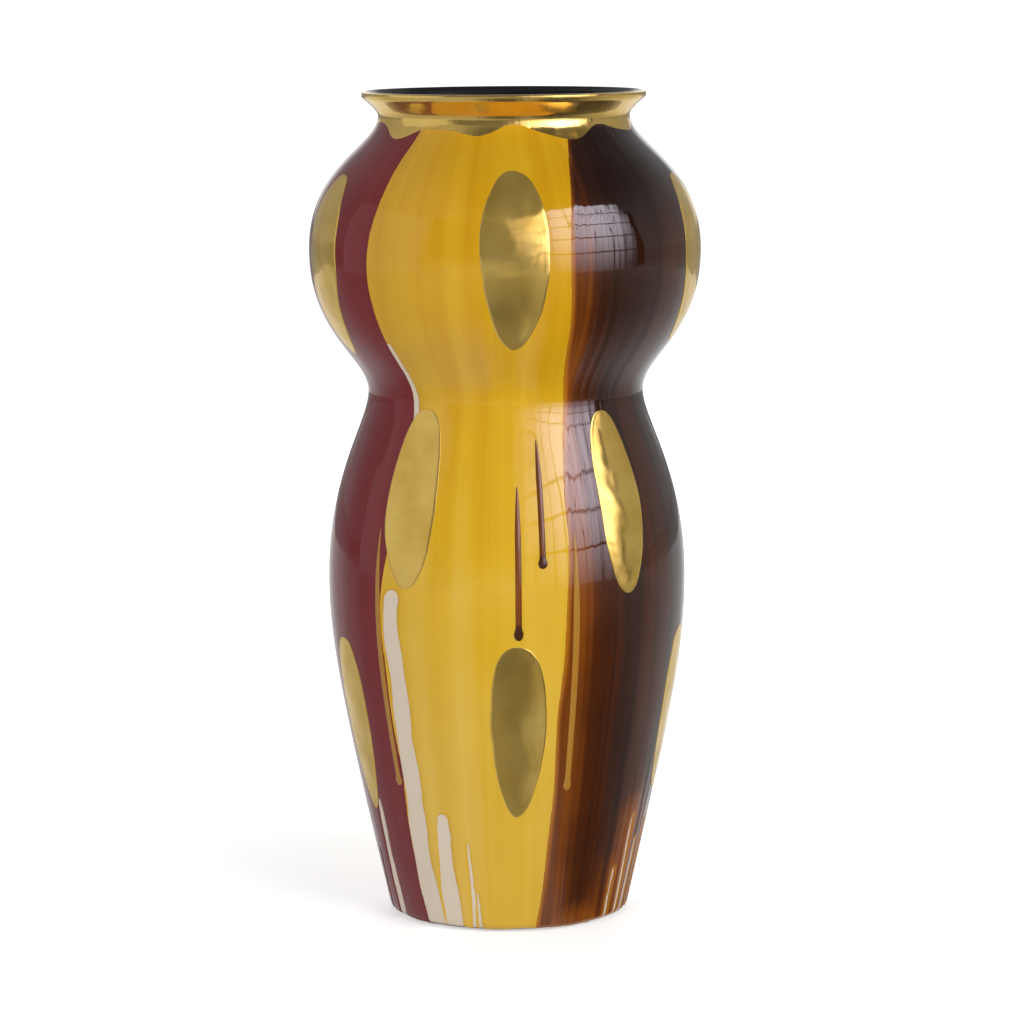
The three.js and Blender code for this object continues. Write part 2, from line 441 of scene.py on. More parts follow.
@dataclass(frozen=True)
class MattFinish:
    """A matt finish with a fine grain: moulded plastic, rubber, bare stoneware or felt."""

    name: str
    tones: Stops
    rough: Span
    grain: Grain
    grain_share: float = 0.4
    grain_strength: float = 0.6
    cloud_scale: float = 60.0
    cloud_span: Span = (0.3, 0.7)
    fibre_scale: float = 300.0
    fibre_reach: float = 0.002
    sheen: float = 0.0
    shine: float = 0.5

    def material(self) -> Finish:
        """Builds the matt finish's node material.

        Returns:
            The material.
        """
        bench = FinishBench(self.name)
        place = bench.object_place()
        scale, depth, fibrous = self.grain.value
        if fibrous:
            strands = bench.scaled(bench.noise(place, self.fibre_scale), self.fibre_reach)
            felted = {"Vector": bench.vector("ADD", place, strands), "Scale": scale}
            fine = bench.add("ShaderNodeTexVoronoi", felted).outputs["Distance"]
        else:
            fine = bench.noise(place, scale, FINE)
        clouds = bench.noise(place, self.cloud_scale, RICH)
        broad = bench.math("MULTIPLY", clouds, 1.0 - self.grain_share)
        tone = bench.math("MULTIPLY_ADD", fine, self.grain_share, broad)
        dressed = {
            "Base Color": bench.ramp(tone, self.tones),
            "Roughness": bench.spread(clouds, self.cloud_span, self.rough),
            "Normal": bench.bump(fine, depth, self.grain_strength),
            "Sheen Weight": self.sheen,
            "Specular IOR Level": self.shine,
        }
        return bench.dress(dressed)


MUSTARD = Glaze(
    name="mustard_glaze",
    tones=(
        (0.0, (0.75, 0.49, 0.065)),
        (0.35, (0.68, 0.40, 0.015)),
        (0.65, (0.58, 0.30, 0.003)),
        (1.0, (0.36, 0.14, 0.002)),
    ),
    base_tone=0.36,
    streaks=0.6,
    clouds=0.3,
    edge=-0.2,
    edge_width=0.0025,
    # Painted light: the mustard is paler low down and deeper up the vase, to make up for the lamps
    # lighting its lower body less.
    rise=0.44,
    rise_span=(0.05, 0.52),
)
MAROON = Glaze(
    name="maroon_glaze",
    tones=(
        (0.0, (0.24, 0.02, 0.02)),
        (0.4, (0.165, 0.007, 0.012)),
        (1.0, (0.078, 0.002, 0.005)),
    ),
    base_tone=0.4,
    streaks=0.35,
    lines=0.15,
    clouds=0.2,
    ior=1.48,
)
BROWN = Glaze(
    name="brown_glaze",
    tones=(
        (0.0, (0.42, 0.15, 0.006)),
        (0.25, (0.24, 0.062, 0.004)),
        (0.5, (0.075, 0.017, 0.0025)),
        (0.75, (0.03, 0.0075, 0.002)),
        (1.0, (0.012, 0.003, 0.0015)),
    ),
    base_tone=0.4,
    streaks=0.9,
    clouds=0.3,
    edge=0.36,
    edge_width=0.034,
    feather=0.38,
    feather_width=0.0045,
    rise=0.45,
    rise_span=(0.44, 0.53),
    foot_fade=0.12,
    waves=0.0008,
    ridges=0.0011,
    ridge_reach=0.055,
)
OCHRE = Glaze(
    name="ochre_run",
    tones=((0.0, (0.50, 0.26, 0.035)), (1.0, (0.32, 0.13, 0.012))),
    base_tone=0.6,
)
SLIP = Glaze(
    name="white_slip",
    tones=((0.0, (0.785, 0.67, 0.525)), (1.0, (0.675, 0.56, 0.447))),
    clouds=0.4,
)
BLACK = Glaze(
    name="black_glaze",
    tones=((0.0, (0.012, 0.012, 0.014)), (1.0, (0.004, 0.004, 0.005))),
    clouds=0.4,
)
GOLD = Lustre(
    name="gold_lustre",
    tones=((0.3, (0.86, 0.56, 0.13)), (0.7, (0.97, 0.69, 0.22))),
    metal=0.96,
)
SATIN_GOLD = Lustre(
    name="satin_gold",
    tones=((0.3, (0.72, 0.46, 0.09)), (0.7, (0.86, 0.60, 0.16))),
    gloss=(0.08, 0.17),
    waves=0.0018,
    wave_scale=38.0,
    stroke_flow=(14.0, 24.0),
    stroke_depth=0.00006,
    metal=0.8,
)
BARE_STONEWARE = MattFinish(
    name="bare_stoneware",
    tones=((0.3, (0.50, 0.41, 0.32)), (0.7, (0.68, 0.59, 0.49))),
    rough=(0.75, 0.95),
    grain=Grain.FIRED,
)
LINER_PLASTIC = MattFinish(
    name="liner_plastic",
    tones=((0.3, (0.005, 0.005, 0.006)), (0.7, (0.010, 0.010, 0.012))),
    rough=(0.45, 0.62),
    grain=Grain.MOULDED,
    shine=0.2,
)
PLUG_RUBBER = MattFinish(
    name="plug_rubber",
    tones=((0.3, (0.035, 0.035, 0.037)), (0.7, (0.060, 0.060, 0.063))),
    rough=(0.6, 0.85),
    grain=Grain.SOFT,
)
PAD_FELT = MattFinish(
    name="pad_felt",
    tones=((0.2, (0.46, 0.40, 0.31)), (0.8, (0.70, 0.64, 0.53))),
    rough=(0.9, 1.0),
    grain=Grain.FELTED,
    sheen=0.4,
)


def new_piece(name: str, points: Array, faces: Faces, edges: Edges | None = None) -> Piece:
    """Makes a mesh and puts it into the scene as an object at the origin.

    Args:
        name: The piece's name.
        points: Its points.
        faces: The point numbers of each face.
        edges: Those of each edge that no face has, if any.

    Returns:
        The piece.
    """
    mesh = bpy.data.meshes.new(name)
    mesh.from_pydata(points.tolist(), edges or [], faces)
    mesh.update()
    piece = bpy.data.objects.new(name, mesh)
    bpy.context.scene.collection.objects.link(piece)
    return piece


def store(piece: Piece, name: str, values: Array) -> None:
    """Keeps a number for each point of a piece as a named attribute."""
    attribute = piece.data.attributes.new(name, "FLOAT", "POINT")
    attribute.data.foreach_set("value", np.asarray(values, np.float32))


def shade(piece: Piece, sharp_degrees: float = 50.0) -> None:
    """Shades a piece smooth, but for edges sharper than an angle."""
    piece.data.polygons.foreach_set("use_smooth", np.ones(len(piece.data.polygons), bool))
    piece.data.set_sharp_from_angle(angle=math.radians(sharp_degrees))


def keep(piece: Piece, body: Body, slot: Slot, *nodes: str) -> None:
    """Gives a finished piece to its body and hides the solids that it stands for.

    Args:
        piece: The finished piece.
        body: The body that it rides on.
        slot: The record's material slot; not used.
        nodes: The solids that it replaces, if any.
    """
    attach(piece, body.value)
    if nodes:
        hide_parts(*nodes)
    LOG.info("%s: %d faces", piece.name, len(piece.data.polygons))


def grow(piece: Piece, tree: bpy.types.NodeTree, values: dict[str, object]) -> None:
    """Runs a geometry tree on a piece and leaves the result as its plain mesh.

    Args:
        piece: The object whose mesh the tree takes in.
        tree: The geometry tree.
        values: The tree's inputs by name.
    """
    modifier = piece.modifiers.new(tree.name, "NODES")
    modifier.node_group = tree
    for item in tree.interface.items_tree:
        if item.item_type == "SOCKET" and item.in_out == "INPUT" and item.name in values:
            modifier[item.identifier] = values[item.name]
    depsgraph = bpy.context.evaluated_depsgraph_get()
    evaluated = piece.evaluated_get(depsgraph)
    mesh = bpy.data.meshes.new_from_object(evaluated, preserve_all_data_layers=True, depsgraph=depsgraph)
    piece.modifiers.remove(modifier)
    before = piece.data
    piece.data = mesh
    bpy.data.meshes.remove(before)
    mesh.name = piece.name


def bezier(points: list[Array | Span], steps: int) -> Array:
    """Points along a Bezier curve of any degree.

    Args:
        points: The curve's ends, with its handles between them.
        steps: How many steps it has.

    Returns:
        The points, ends included.
    """
    share = np.linspace(0.0, 1.0, steps + 1)[:, None]
    layers = [np.broadcast_to(point, (steps + 1, 2)) for point in points]
    while len(layers) > 1:
        layers = [a + (b - a) * share for a, b in zip(layers, layers[1:], strict=False)]
    return layers[0]


def arc(centre: Array, radius: float, start: float, end: float, steps: int) -> Array:
    """Points along an arc between two headings in degrees."""
    turn = np.radians(np.linspace(start, end, steps + 1))
    return centre + radius * np.stack([np.cos(turn), np.sin(turn)], 1)


def joined(stretches: list[Line]) -> Array:
    """Joins stretches of points into one line, without repeated points."""
    line = np.concatenate(stretches)
    return line[np.append(True, np.diff(lengths(line)) > SAME_POINT)]


def lengths(line: Array) -> Array:
    """The length along a line up to each of its points."""
    return np.concatenate([[0.0], np.cumsum(np.linalg.norm(np.diff(line, axis=0), axis=1))])


def even(line: Array, step: float) -> Array:
    """Draws a line again with even steps.

    Args:
        line: The line.
        step: About how far apart its new points lie.

    Returns:
        The new line.
    """
    run = lengths(line)
    places = np.linspace(0.0, run[-1], max(2, round(run[-1] / step) + 1))
    return np.stack([np.interp(places, run, line[:, 0]), np.interp(places, run, line[:, 1])], 1)


def normals(line: Array) -> Array:
    """Finds the direction away from the axis at each point of a line that rises.

    Args:
        line: Radius and height of each point.

    Returns:
        The directions.
    """
    tangent = np.gradient(line, axis=0)
    tangent /= np.linalg.norm(tangent, axis=1)[:, None]
    return np.stack([tangent[:, 1], -tangent[:, 0]], 1)


def ring_cells(rows: int, columns: int) -> Array:
    """Finds the corners of each cell of a grid whose rows close on themselves.

    Args:
        rows: How many rows of points the grid has.
        columns: How many points a row has.

    Returns:
        Four point numbers for each cell.
    """
    number = np.arange(rows * columns).reshape(rows, columns)
    beside = np.roll(number, -1, 1)
    return np.stack([number[:-1], beside[:-1], beside[1:], number[1:]], -1).reshape(-1, 4)


@dataclass(frozen=True)
class VaseOutline:
    """The section of the vase, as in the solids: heights are over its standing face.

    Handles say how far a curve runs straight on from its lower and its upper end, as shares of its rise.
    """

    foot_radius: float = 0.0795
    foot_edge: float = 0.0045
    foot_steps: int = 12
    taper_slope: float = 0.229
    taper_handles: Span = (0.65, 0.19)
    taper_steps: int = 120
    belly: Span = (0.1195, 0.227)
    waist_handles: Span = (0.555, 0.165)
    waist: Span = (0.0915, 0.3515)
    bulb_handles: Span = (0.24, 0.61)
    bulb: Span = (0.130, 0.446)
    neck_handles: Span = (0.63, 0.215)
    neck: Span = (0.083, 0.534)
    curve_steps: int = 80
    flare_handles: Span = (0.22, 0.645)
    flare_steps: int = 30
    lip_radius: float = 0.094
    lip_height: float = 0.550
    lip_roll: float = 0.0025
    lip_slope: float = 40.0
    lip_steps: int = 14
    wall: float = 0.007
    floor_top: float = 0.015
    floor_fillet: float = 0.014
    inside_steps: int = 8
    foot_recess: float = 0.006
    ring_width: float = 0.013
    ring_chamfer: float = 0.0015
    drain_radius: float = 0.010

    def heading(self, turn: float) -> Array:
        """A direction turned from the slope of the flared lip, in degrees."""
        angle = math.radians(self.lip_slope + turn)
        return np.array([math.cos(angle), math.sin(angle)])

    def lip_centre(self) -> Array:
        """The centre of the lip's rolled edge."""
        return np.array([self.lip_radius - self.lip_roll, self.lip_height - self.lip_roll])

    def rising(self, low: Span, high: Span, handles: Span, steps: int, lean: float = 0.0) -> Array:
        """A curve up the outside, upright at its upper end.

        Args:
            low: Radius and height of its lower end.
            high: Radius and height of its upper end.
            handles: Its handles.
            steps: How many steps it has.
            lean: How far it leans out at its lower end.

        Returns:
            Its points.
        """
        rise = high[1] - low[1]
        reach, settle = (handle * rise for handle in handles)
        first = (low[0] + lean * reach, low[1] + reach)
        return bezier([low, first, (high[0], high[1] - settle), high], steps)

    def flare(self, start: Span, turn: float) -> Array:
        """The flared curve from the neck to the rolled lip.

        Args:
            start: Radius and height of its start at the neck.
            turn: The side of the lip that it runs to, in degrees from the lip's slope.

        Returns:
            Its points.
        """
        end = self.lip_centre() + self.lip_roll * self.heading(turn)
        reach, settle = (handle * (end[1] - start[1]) for handle in self.flare_handles)
        first = (start[0], start[1] + reach)
        return bezier([start, first, end - settle * self.heading(0.0), end], self.flare_steps)

    def outside(self) -> Array:
        """The outside from the foot's edge up to the crest of the lip.

        Returns:
            Radius and height of each point.
        """
        foot_top = (self.foot_radius + self.taper_slope * self.foot_edge, self.foot_edge)
        foot = [(self.foot_radius - self.foot_edge, 0.0), (self.foot_radius, 0.0), foot_top]
        swells = (
            (self.belly, self.waist, self.waist_handles),
            (self.waist, self.bulb, self.bulb_handles),
            (self.bulb, self.neck, self.neck_handles),
        )
        return joined(
            [
                bezier(foot, self.foot_steps),
                self.rising(foot_top, self.belly, self.taper_handles, self.taper_steps, self.taper_slope),
                *(self.rising(*swell, self.curve_steps) for swell in swells),
                self.flare(self.neck, -QUARTER),
                arc(self.lip_centre(), self.lip_roll, self.lip_slope - QUARTER, QUARTER, self.lip_steps),
            ]
        )

    def mouth(self) -> Array:
        """The inside of the flared mouth, from the throat up to the rolled lip."""
        return self.flare((self.neck[0] - self.wall, self.neck[1]), QUARTER)

    def inside(self) -> Array:
        """The inside from the crest of the lip down to the drain hole.

        Returns:
            Radius and height of each point.
        """
        outside = self.outside()
        wall = outside - self.wall * normals(outside)
        above_floor = wall[:, 1] > self.floor_top + self.floor_fillet
        wall = wall[above_floor & (outside[:, 1] < self.neck[1])]
        corner = np.array([wall[0, 0] - self.taper_slope * self.floor_fillet, self.floor_top])
        fillet = bezier([corner - (self.floor_fillet, 0.0), corner, wall[0]], self.inside_steps)
        drain = [(self.drain_radius, self.floor_top)]
        lip = arc(self.lip_centre(), self.lip_roll, QUARTER, self.lip_slope + QUARTER, self.inside_steps)
        return joined([lip, self.mouth()[::-1], wall[::-1], fillet[::-1], drain])

    def underside(self) -> Array:
        """The foot from the drain hole's lower edge to the ring's outer edge.

        Returns:
            Radius and height of each point.
        """
        inner = self.foot_radius - self.foot_edge - self.ring_width
        points = [
            (self.drain_radius, self.foot_recess),
            (inner - self.ring_chamfer, self.foot_recess),
            (inner, self.ring_chamfer),
            (inner + self.ring_chamfer, 0.0),
        ]
        return np.array(points)


class LatheTree:
    """A geometry tree that turns a section about +Z and gives each zone its finish.

    The section is a line of edges, either a loop or one that starts and ends on the axis. X is the
    radius less one, because it is swept about a circle of radius one, and Y is minus the height.
    """

    MERGE_DISTANCE = 1e-6

    def __init__(self) -> None:
        """Builds the tree."""
        finishes = {self.finish_input(zone): Socket.FINISH for zone in Zone}
        bench = TreeBench("turned_piece", {"Segments": Socket.COUNT, **finishes})
        given = bench.given
        section = bench.shape("MeshToCurve", {"Mesh": given["Geometry"]})
        circle = {"Resolution": given["Segments"], "Radius": 1.0}
        ring = bench.shape("CurvePrimitiveCircle", circle)
        made = bench.shape("CurveToMesh", {"Curve": ring, "Profile Curve": section})
        made = bench.shape("FlipFaces", {"Mesh": made})
        merged = {"Geometry": made, "Distance": self.MERGE_DISTANCE}
        made = bench.realized(bench.shape("MergeByDistance", merged))
        place = bench.shape("InputNamedAttribute", {"Name": "zone"}, data_type="FLOAT")
        for zone in Zone:
            here = bench.math("COMPARE", place, float(zone), 0.5)
            chosen = {"Geometry": made, "Selection": here, "Material": given[self.finish_input(zone)]}
            made = bench.shape("SetMaterial", chosen)
        bench.add("NodeGroupOutput", {"Geometry": made})
        self.tree = bench.tree

    @staticmethod
    def finish_input(zone: Zone) -> str:
        """The name of the input that takes a zone's finish."""
        return f"{zone.name.title()} Finish"

    def turn(
        self,
        name: str,
        section: Array,
        segments: int,
        finishes: dict[Zone, Finish],
        zones: Array | Zone = Zone.OUTSIDE,
    ) -> Piece:
        """Turns a section.

        Args:
            name: The new piece's name.
            section: Radius and height of each point, up the outside and down the inside.
            segments: How many steps go round the axis.
            finishes: The material of each zone that the section has.
            zones: The zone of each point, or of all.

        Returns:
            The turned piece, as a plain mesh.
        """
        count = len(section)
        points = np.stack([section[:, 0] - 1.0, -section[:, 1], np.zeros(count)], 1)
        edges = [(i, i + 1) for i in range(count - 1)]
        if section[0, 0] > 0.0:
            edges.append((count - 1, 0))
        piece = new_piece(name, points, [], edges)
        store(piece, "zone", np.broadcast_to(zones, count))
        values = {self.finish_input(zone): material for zone, material in finishes.items()}
        grow(piece, self.tree, {"Segments": segments, **values})
        shade(piece)
        return piece


class Skin:
    """The outside of the fired body unrolled: angle round it against length up it.

    It remembers how high the glaze stands at each grid point, so that a later coat lies on an
    earlier one.
    """

    NUDGE = 0.12
    SUNK = 0.00015
    SHARP_DEGREES = 60.0
    SURFACE_PASSES = 3

    def __init__(self, line: Array, columns: int, row_step: float) -> None:
        """Takes the body's outside line, the steps round it and the step up it.

        Args:
            line: Radius and height of each point of the line.
            columns: How many steps go round.
            row_step: About how long a step up it is.
        """
        self.line = even(line, row_step)
        self.run = lengths(self.line)
        self.out = normals(self.line)
        self.angle = np.linspace(-math.pi, math.pi, columns, endpoint=False)
        self.height = np.zeros((len(self.run), columns))

    def run_at(self, height: float) -> float:
        """The length up the skin at a height."""
        return float(np.interp(height, self.line[:, 1], self.run))

    def across(self, centre: Array | float) -> Array:
        """The distance of each grid point round the vase from an angle, or from an angle for each row."""
        turn = self.angle[None, :] - np.reshape(centre, (-1, 1))
        return ((turn + math.pi) % TURN - math.pi) * self.line[:, :1]

    def place(self, angle: Array, run: Array, lift: Array) -> Array:
        """Finds points in the part's frame.

        Args:
            angle: The angle of each point.
            run: Its length up the skin.
            lift: How far it stands off the skin.

        Returns:
            The points.
        """
        columns = np.concatenate([self.line, self.out], 1)
        radius, height, out, up = (np.interp(run, self.run, column) for column in columns.T)
        radius = radius + lift * out
        return np.stack([radius * np.sin(angle), -radius * np.cos(angle), height + lift * up], 1)

    def eased(self, passes: int) -> Array:
        """The height of the glaze, raised over the steps between coats and eased into slopes.

        Args:
            passes: How many times the slopes are evened out.

        Returns:
            The eased height at each grid point.
        """
        rows = len(self.run)
        below = [0, *range(rows - 1)]
        above = [*range(1, rows), rows - 1]
        height = self.height
        for ease in (np.max, np.max, *[np.mean] * passes):
            height = ease([np.roll(height, step, 1) for step in (-1, 0, 1)], axis=0)
            height = ease([height[below], height, height[above]], axis=0)
        return height

    def lay(
        self,
        name: str,
        field: Array,
        thickness: Array | float,
        rim: float,
        lap_rise: Array | float,
        passes: int = 0,
    ) -> Piece:
        """Lays a coat where a field is above zero, as a closed shell with a rounded rim.

        Args:
            name: The coat's name.
            field: The distance inside the coat's edge at each grid point, negative outside it.
            thickness: The coat's full thickness on the bare body.
            rim: How far in from its edge the coat reaches that thickness.
            lap_rise: How far the coat stands over an earlier one that it laps.
            passes: How many times the earlier coats' steps are evened out beneath it.

        Returns:
            The coat, with its depth in from the edge as the attribute "edge".
        """
        nudge = self.NUDGE * (self.run[1] - self.run[0])
        field = np.where(field > 0, np.maximum(field, nudge), np.minimum(field, -nudge))
        field[[0, -1]] = np.minimum(field[[0, -1]], -nudge)
        share = np.clip(field / rim, 0.0, 1.0)
        swell = np.sqrt(1.0 - (1.0 - share) ** 2)
        below = self.eased(passes) if passes else self.height
        lift = np.where(field > 0, np.maximum(below + lap_rise * swell, thickness * swell), self.height)
        faces, rims, angle, run, top, edge = self.contour(field, lift)
        count = len(angle)
        base = np.full(count, -self.SUNK)
        shell = np.concatenate([self.place(angle, run, top), self.place(angle, run, base)])
        lower = [[count + i for i in reversed(face)] for face in faces]
        skirt = [[b, a, count + a, count + b] for a, b in rims]
        piece = new_piece(name, shell, faces + lower + skirt)
        store(piece, "edge", np.concatenate([edge, edge]))
        self.height = lift
        shade(piece, self.SHARP_DEGREES)
        return piece

    def contour(self, field: Array, lift: Array) -> tuple[Faces, Edges, Array, Array, Array, Array]:
        """Cuts the grid along the line where a field is zero.

        Args:
            field: The field at each grid point.
            lift: How high the sheet stands at each grid point.

        Returns:
            The faces, the edges of the cut, and the angle, run, lift and depth of each point.
        """
        rows, columns = field.shape
        field, lift = field.ravel(), lift.ravel()
        kept = np.flatnonzero(field > 0)
        index = np.full(field.size, -1)
        index[kept] = np.arange(len(kept))
        corners = ring_cells(rows, columns)
        held = (index[corners] >= 0).sum(1)
        faces = index[corners[held == 4]].tolist()
        cuts: dict[tuple[int, int], int] = {}
        rims: Edges = []
        for cell in corners[(held > 0) & (held < 4)].tolist():
            face, leaving = [], []
            for a, b in zip(cell, cell[1:] + cell[:1], strict=True):
                inside, crossed = index[a] >= 0, (index[a] >= 0) != (index[b] >= 0)
                if inside:
                    face.append(int(index[a]))
                if inside and crossed:
                    leaving.append(len(face))
                if crossed:
                    ends = (a, b) if inside else (b, a)
                    face.append(cuts.setdefault(ends, len(kept) + len(cuts)))
            rims += [(face[i], face[(i + 1) % len(face)]) for i in leaving]
            faces.append(face)
        inner, outer = np.array(list(cuts)).T
        share = field[inner] / (field[inner] - field[outer])
        turn = (outer % columns - inner % columns + columns // 2) % columns - columns // 2
        angle = self.angle[inner % columns] + share * turn * TURN / columns
        low, high = self.run[inner // columns], self.run[outer // columns]
        top = lift[inner] + share * (lift[outer] - lift[inner])
        found = (
            (self.angle[kept % columns], angle),
            (self.run[kept // columns], low + share * (high - low)),
            (lift[kept], top),
            (field[kept], np.zeros(len(cuts))),
        )
        return faces, rims, *(np.concatenate(pair) for pair in found)

    def surface(self, name: str) -> Piece:
        """The outermost glaze surface as one open sheet, for pieces that are laid on it.

        Args:
            name: The sheet's name.

        Returns:
            The sheet, raised over the steps between coats and eased into slopes.
        """
        rows, columns = self.height.shape
        height = self.eased(self.SURFACE_PASSES)
        points = self.place(np.tile(self.angle, rows), np.repeat(self.run, columns), height.ravel())
        return new_piece(name, points, ring_cells(rows, columns).tolist())


@dataclass(frozen=True)
class VaseBody:
    """The fired body: white slip outside, black glaze inside, and a bare foot ring."""

    outline: VaseOutline
    standing: float
    coat: float = 0.0006
    fade: float = 0.012
    outside_step: float = 0.002
    fine_step: float = 0.0005
    inside_step: float = 0.0045
    segments: int = 180
    bare_run: float = 0.002

    def outside(self) -> Array:
        """The body's outside, set in by the coat's thickness, which fades out at the lip.

        Returns:
            Radius and height of each point.
        """
        line = even(self.outline.outside(), self.fine_step)
        run = lengths(line)
        share = np.clip((run[-1] - run) / self.fade, 0.0, 1.0)
        inset = self.coat * share * share * (3.0 - 2.0 * share)
        return line - inset[:, None] * normals(line) + (0.0, self.standing)

    def build(self, lathe: LatheTree) -> None:
        """Turns the body from its section.

        Args:
            lathe: The tree that turns it.
        """
        lift = np.array([0.0, self.standing])
        under = self.outline.underside() + lift
        outside = even(self.outside(), self.outside_step)
        inside = even(self.outline.inside(), self.inside_step)[1:] + lift
        bare = lengths(outside) < self.bare_run
        zones = (
            np.full(len(under), Zone.BARE),
            np.where(bare, Zone.BARE, Zone.OUTSIDE),
            np.full(len(inside), Zone.INSIDE),
        )
        finishes = {
            Zone.OUTSIDE: SLIP.material(),
            Zone.INSIDE: BLACK.material(),
            Zone.BARE: BARE_STONEWARE.material(),
        }
        section = np.concatenate([under, outside, inside])
        body = lathe.turn("vase_body", section, self.segments, finishes, np.concatenate(zones))
        keep(body, Body.VASE, Slot.WHITE, "vase_shell")


@dataclass(frozen=True)
class Seam:
    """Where two poured glazes meet: an angle that wanders up the vase and drifts near its ends.

    A seam with a plumb of 1 keeps its distance round the vase, and one with a plumb of 0 its angle.
    Each wave is a length up the vase and a share of the wander.
    """

    degrees: float
    seed: int
    drift: float = 0.0
    wander: float = 2.4
    plumb: float = 0.0
    top_drift: float = 0.0
    plumb_radius: float = 0.115
    waves: tuple[Span, ...] = ((0.42, 1.0), (0.19, 0.55), (0.08, 0.16))
    drift_reach: float = 0.34
    top_start: float = 0.44
    top_reach: float = 0.16

    def line(self, skin: Skin) -> Array:
        """Draws the seam.

        Args:
            skin: The body's unrolled outside.

        Returns:
            The seam's angle at each length up the skin, in radians.
        """
        draw = random.Random(self.seed)
        run = skin.run
        total = self.degrees * (self.plumb_radius / skin.line[:, 0]) ** self.plumb
        for wave, share in self.waves:
            phase = draw.uniform(0.0, TURN)
            total += self.wander * share * np.sin(TURN * run / wave + phase)
        low = np.clip(1.0 - run / self.drift_reach, 0.0, 1.0)
        high = np.clip((run - self.top_start) / self.top_reach, 0.0, 1.0)
        return np.radians(total + self.drift * low**2 + self.top_drift * high**2)


@dataclass(frozen=True)
class GlazeCoats:
    """The poured glazes: upright bands that meet at seams and part near the foot.

    A front slit is an angle in degrees, the run at its top and half its width. A foot parting, at
    each maroon seam, is the run at its top and half its width. The waves of a slit are its turns for
    each metre up the vase, and for each metre of its top. Of the slits behind, one in a few floats
    clear of the foot. A ripple is a count of waves round the vase, a wave's length up it and a share
    of the thickness.
    """

    thickness: float = 0.0006
    lap_rise: float = 0.00015
    rim: float = 0.0022
    lap: float = 0.004
    bottom: float = 0.0024
    bottom_wave: float = 0.0008
    bottom_waves: int = 9
    crest_fade: float = 0.012
    crest_least: float = 0.05
    crest_calm: float = 0.02
    ripples: tuple[tuple[int, float, float], ...] = (
        (5, 0.31, 0.1),
        (11, 0.17, 0.08),
        (23, 0.4, 0.06),
        (37, 0.6, 0.04),
    )
    maroon_mustard: Seam = Seam(-42.0, 11, 1.0, top_drift=10.0)
    mustard_brown: Seam = Seam(20.7, 23, -17.0, 1.6, 1.0)
    brown_mustard: Seam = Seam(126.0, 5, 4.0, 2.4, 0.15)
    mustard_maroon: Seam = Seam(208.0, 8, -5.0)
    narrowing: float = 0.7
    least_length: float = 0.02
    swell: float = 0.06
    swell_waves: Span = (150.0, 40.0)
    sway: float = 0.007
    sway_waves: Span = (70.0, 90.0)
    under: float = -1.0
    waist_parting: tuple[float, float, float] = (0.337, 0.392, 0.0021)
    waist_top: float = 0.7
    foot_partings: tuple[Span, Span] = ((0.238, 0.0075), (0.16, 0.007))
    foot_top: float = 0.8
    foot_shift_radius: float = 0.1
    front_slits: tuple[tuple[float, float, float], ...] = (
        (-75.0, 0.05, 0.0016),
        (-62.5, 0.09, 0.0042),
        (-27.0, 0.088, 0.0068),
        (-16.5, 0.066, 0.0014),
        (-13.5, 0.03, 0.0012),
        (53.0, 0.04, 0.0012),
        (61.0, 0.075, 0.0016),
        (68.0, 0.058, 0.0024),
        (76.0, 0.07, 0.002),
    )
    back_slits: int = 9
    back_span: Span = (96.0, 276.0)
    back_jitter: Span = (0.16, 0.84)
    back_tops: Span = (0.035, 0.09)
    back_halves: tuple[float, ...] = (0.0013, 0.0018, 0.0028, 0.006)
    grounded_odds: int = 4
    floating_share: float = 0.6
    slit_seed: int = 6

    def slit(
        self, skin: Skin, angle: Array | float, ends: Span, half: float, top: float = 0.5
    ) -> Array:
        """The distance inside an upright bare slit with round ends.

        Args:
            skin: The body's unrolled outside.
            angle: The slit's angle, or its angle for each row.
            ends: The run at its lower and at its upper end.
            half: Half its width at the lower end.
            top: The share of that width at its upper end.

        Returns:
            The distance at each grid point, negative outside the slit.
        """
        low, high = ends
        run = skin.run
        rise = np.clip((high - run) / max(high - max(low, 0.0), self.least_length), 0.0, 1.0)
        waves = (self.swell_waves, self.sway_waves)
        swell, sway = (np.sin(turns * run + shift * high) for turns, shift in waves)
        width = half * (top + (1.0 - top) * rise**self.narrowing) * (1.0 + self.swell * swell)
        past = np.maximum(np.maximum(run - high + half, low - run), 0.0)
        return width[:, None] - np.hypot(skin.across(angle + self.sway * sway), past[:, None])

    def bare(self, skin: Skin) -> Array:
        """Finds the bare slits: partings at the maroon seams, then slits in front and behind.

        Args:
            skin: The body's unrolled outside.

        Returns:
            The distance inside the nearest slit at each grid point, negative outside.
        """
        draw = random.Random(self.slit_seed)
        low, high, half = self.waist_parting
        ends = (skin.run_at(low), skin.run_at(high))
        found = [self.slit(skin, self.maroon_mustard.line(skin), ends, half, self.waist_top)]
        seams = (self.maroon_mustard, self.mustard_maroon)
        for seam, (top, half) in zip(seams, self.foot_partings, strict=True):
            angle = seam.line(skin) + half / self.foot_shift_radius
            found.append(self.slit(skin, angle, (self.under, top), half, self.foot_top))
        for degrees, top, half in self.front_slits:
            found.append(self.slit(skin, math.radians(degrees), (self.under, top), half))
        start, end = self.back_span
        for i in range(self.back_slits):
            share = (i + draw.uniform(*self.back_jitter)) / self.back_slits
            top = draw.uniform(*self.back_tops)
            half = draw.choice(self.back_halves)
            low = draw.choice((*[self.under] * self.grounded_odds, self.floating_share * top))
            angle = math.radians(start + (end - start) * share)
            found.append(self.slit(skin, angle, (low, top), half))
        return np.max(found, axis=0)

    def band(self, skin: Skin, left: Array, right: Array, lap: float) -> Array:
        """The distance inside the band between two seams, which reaches past each by a lap."""
        reach = (right - left) / 2 * skin.line[:, 0]
        return reach[:, None] + lap - np.abs(skin.across((left + right) / 2))

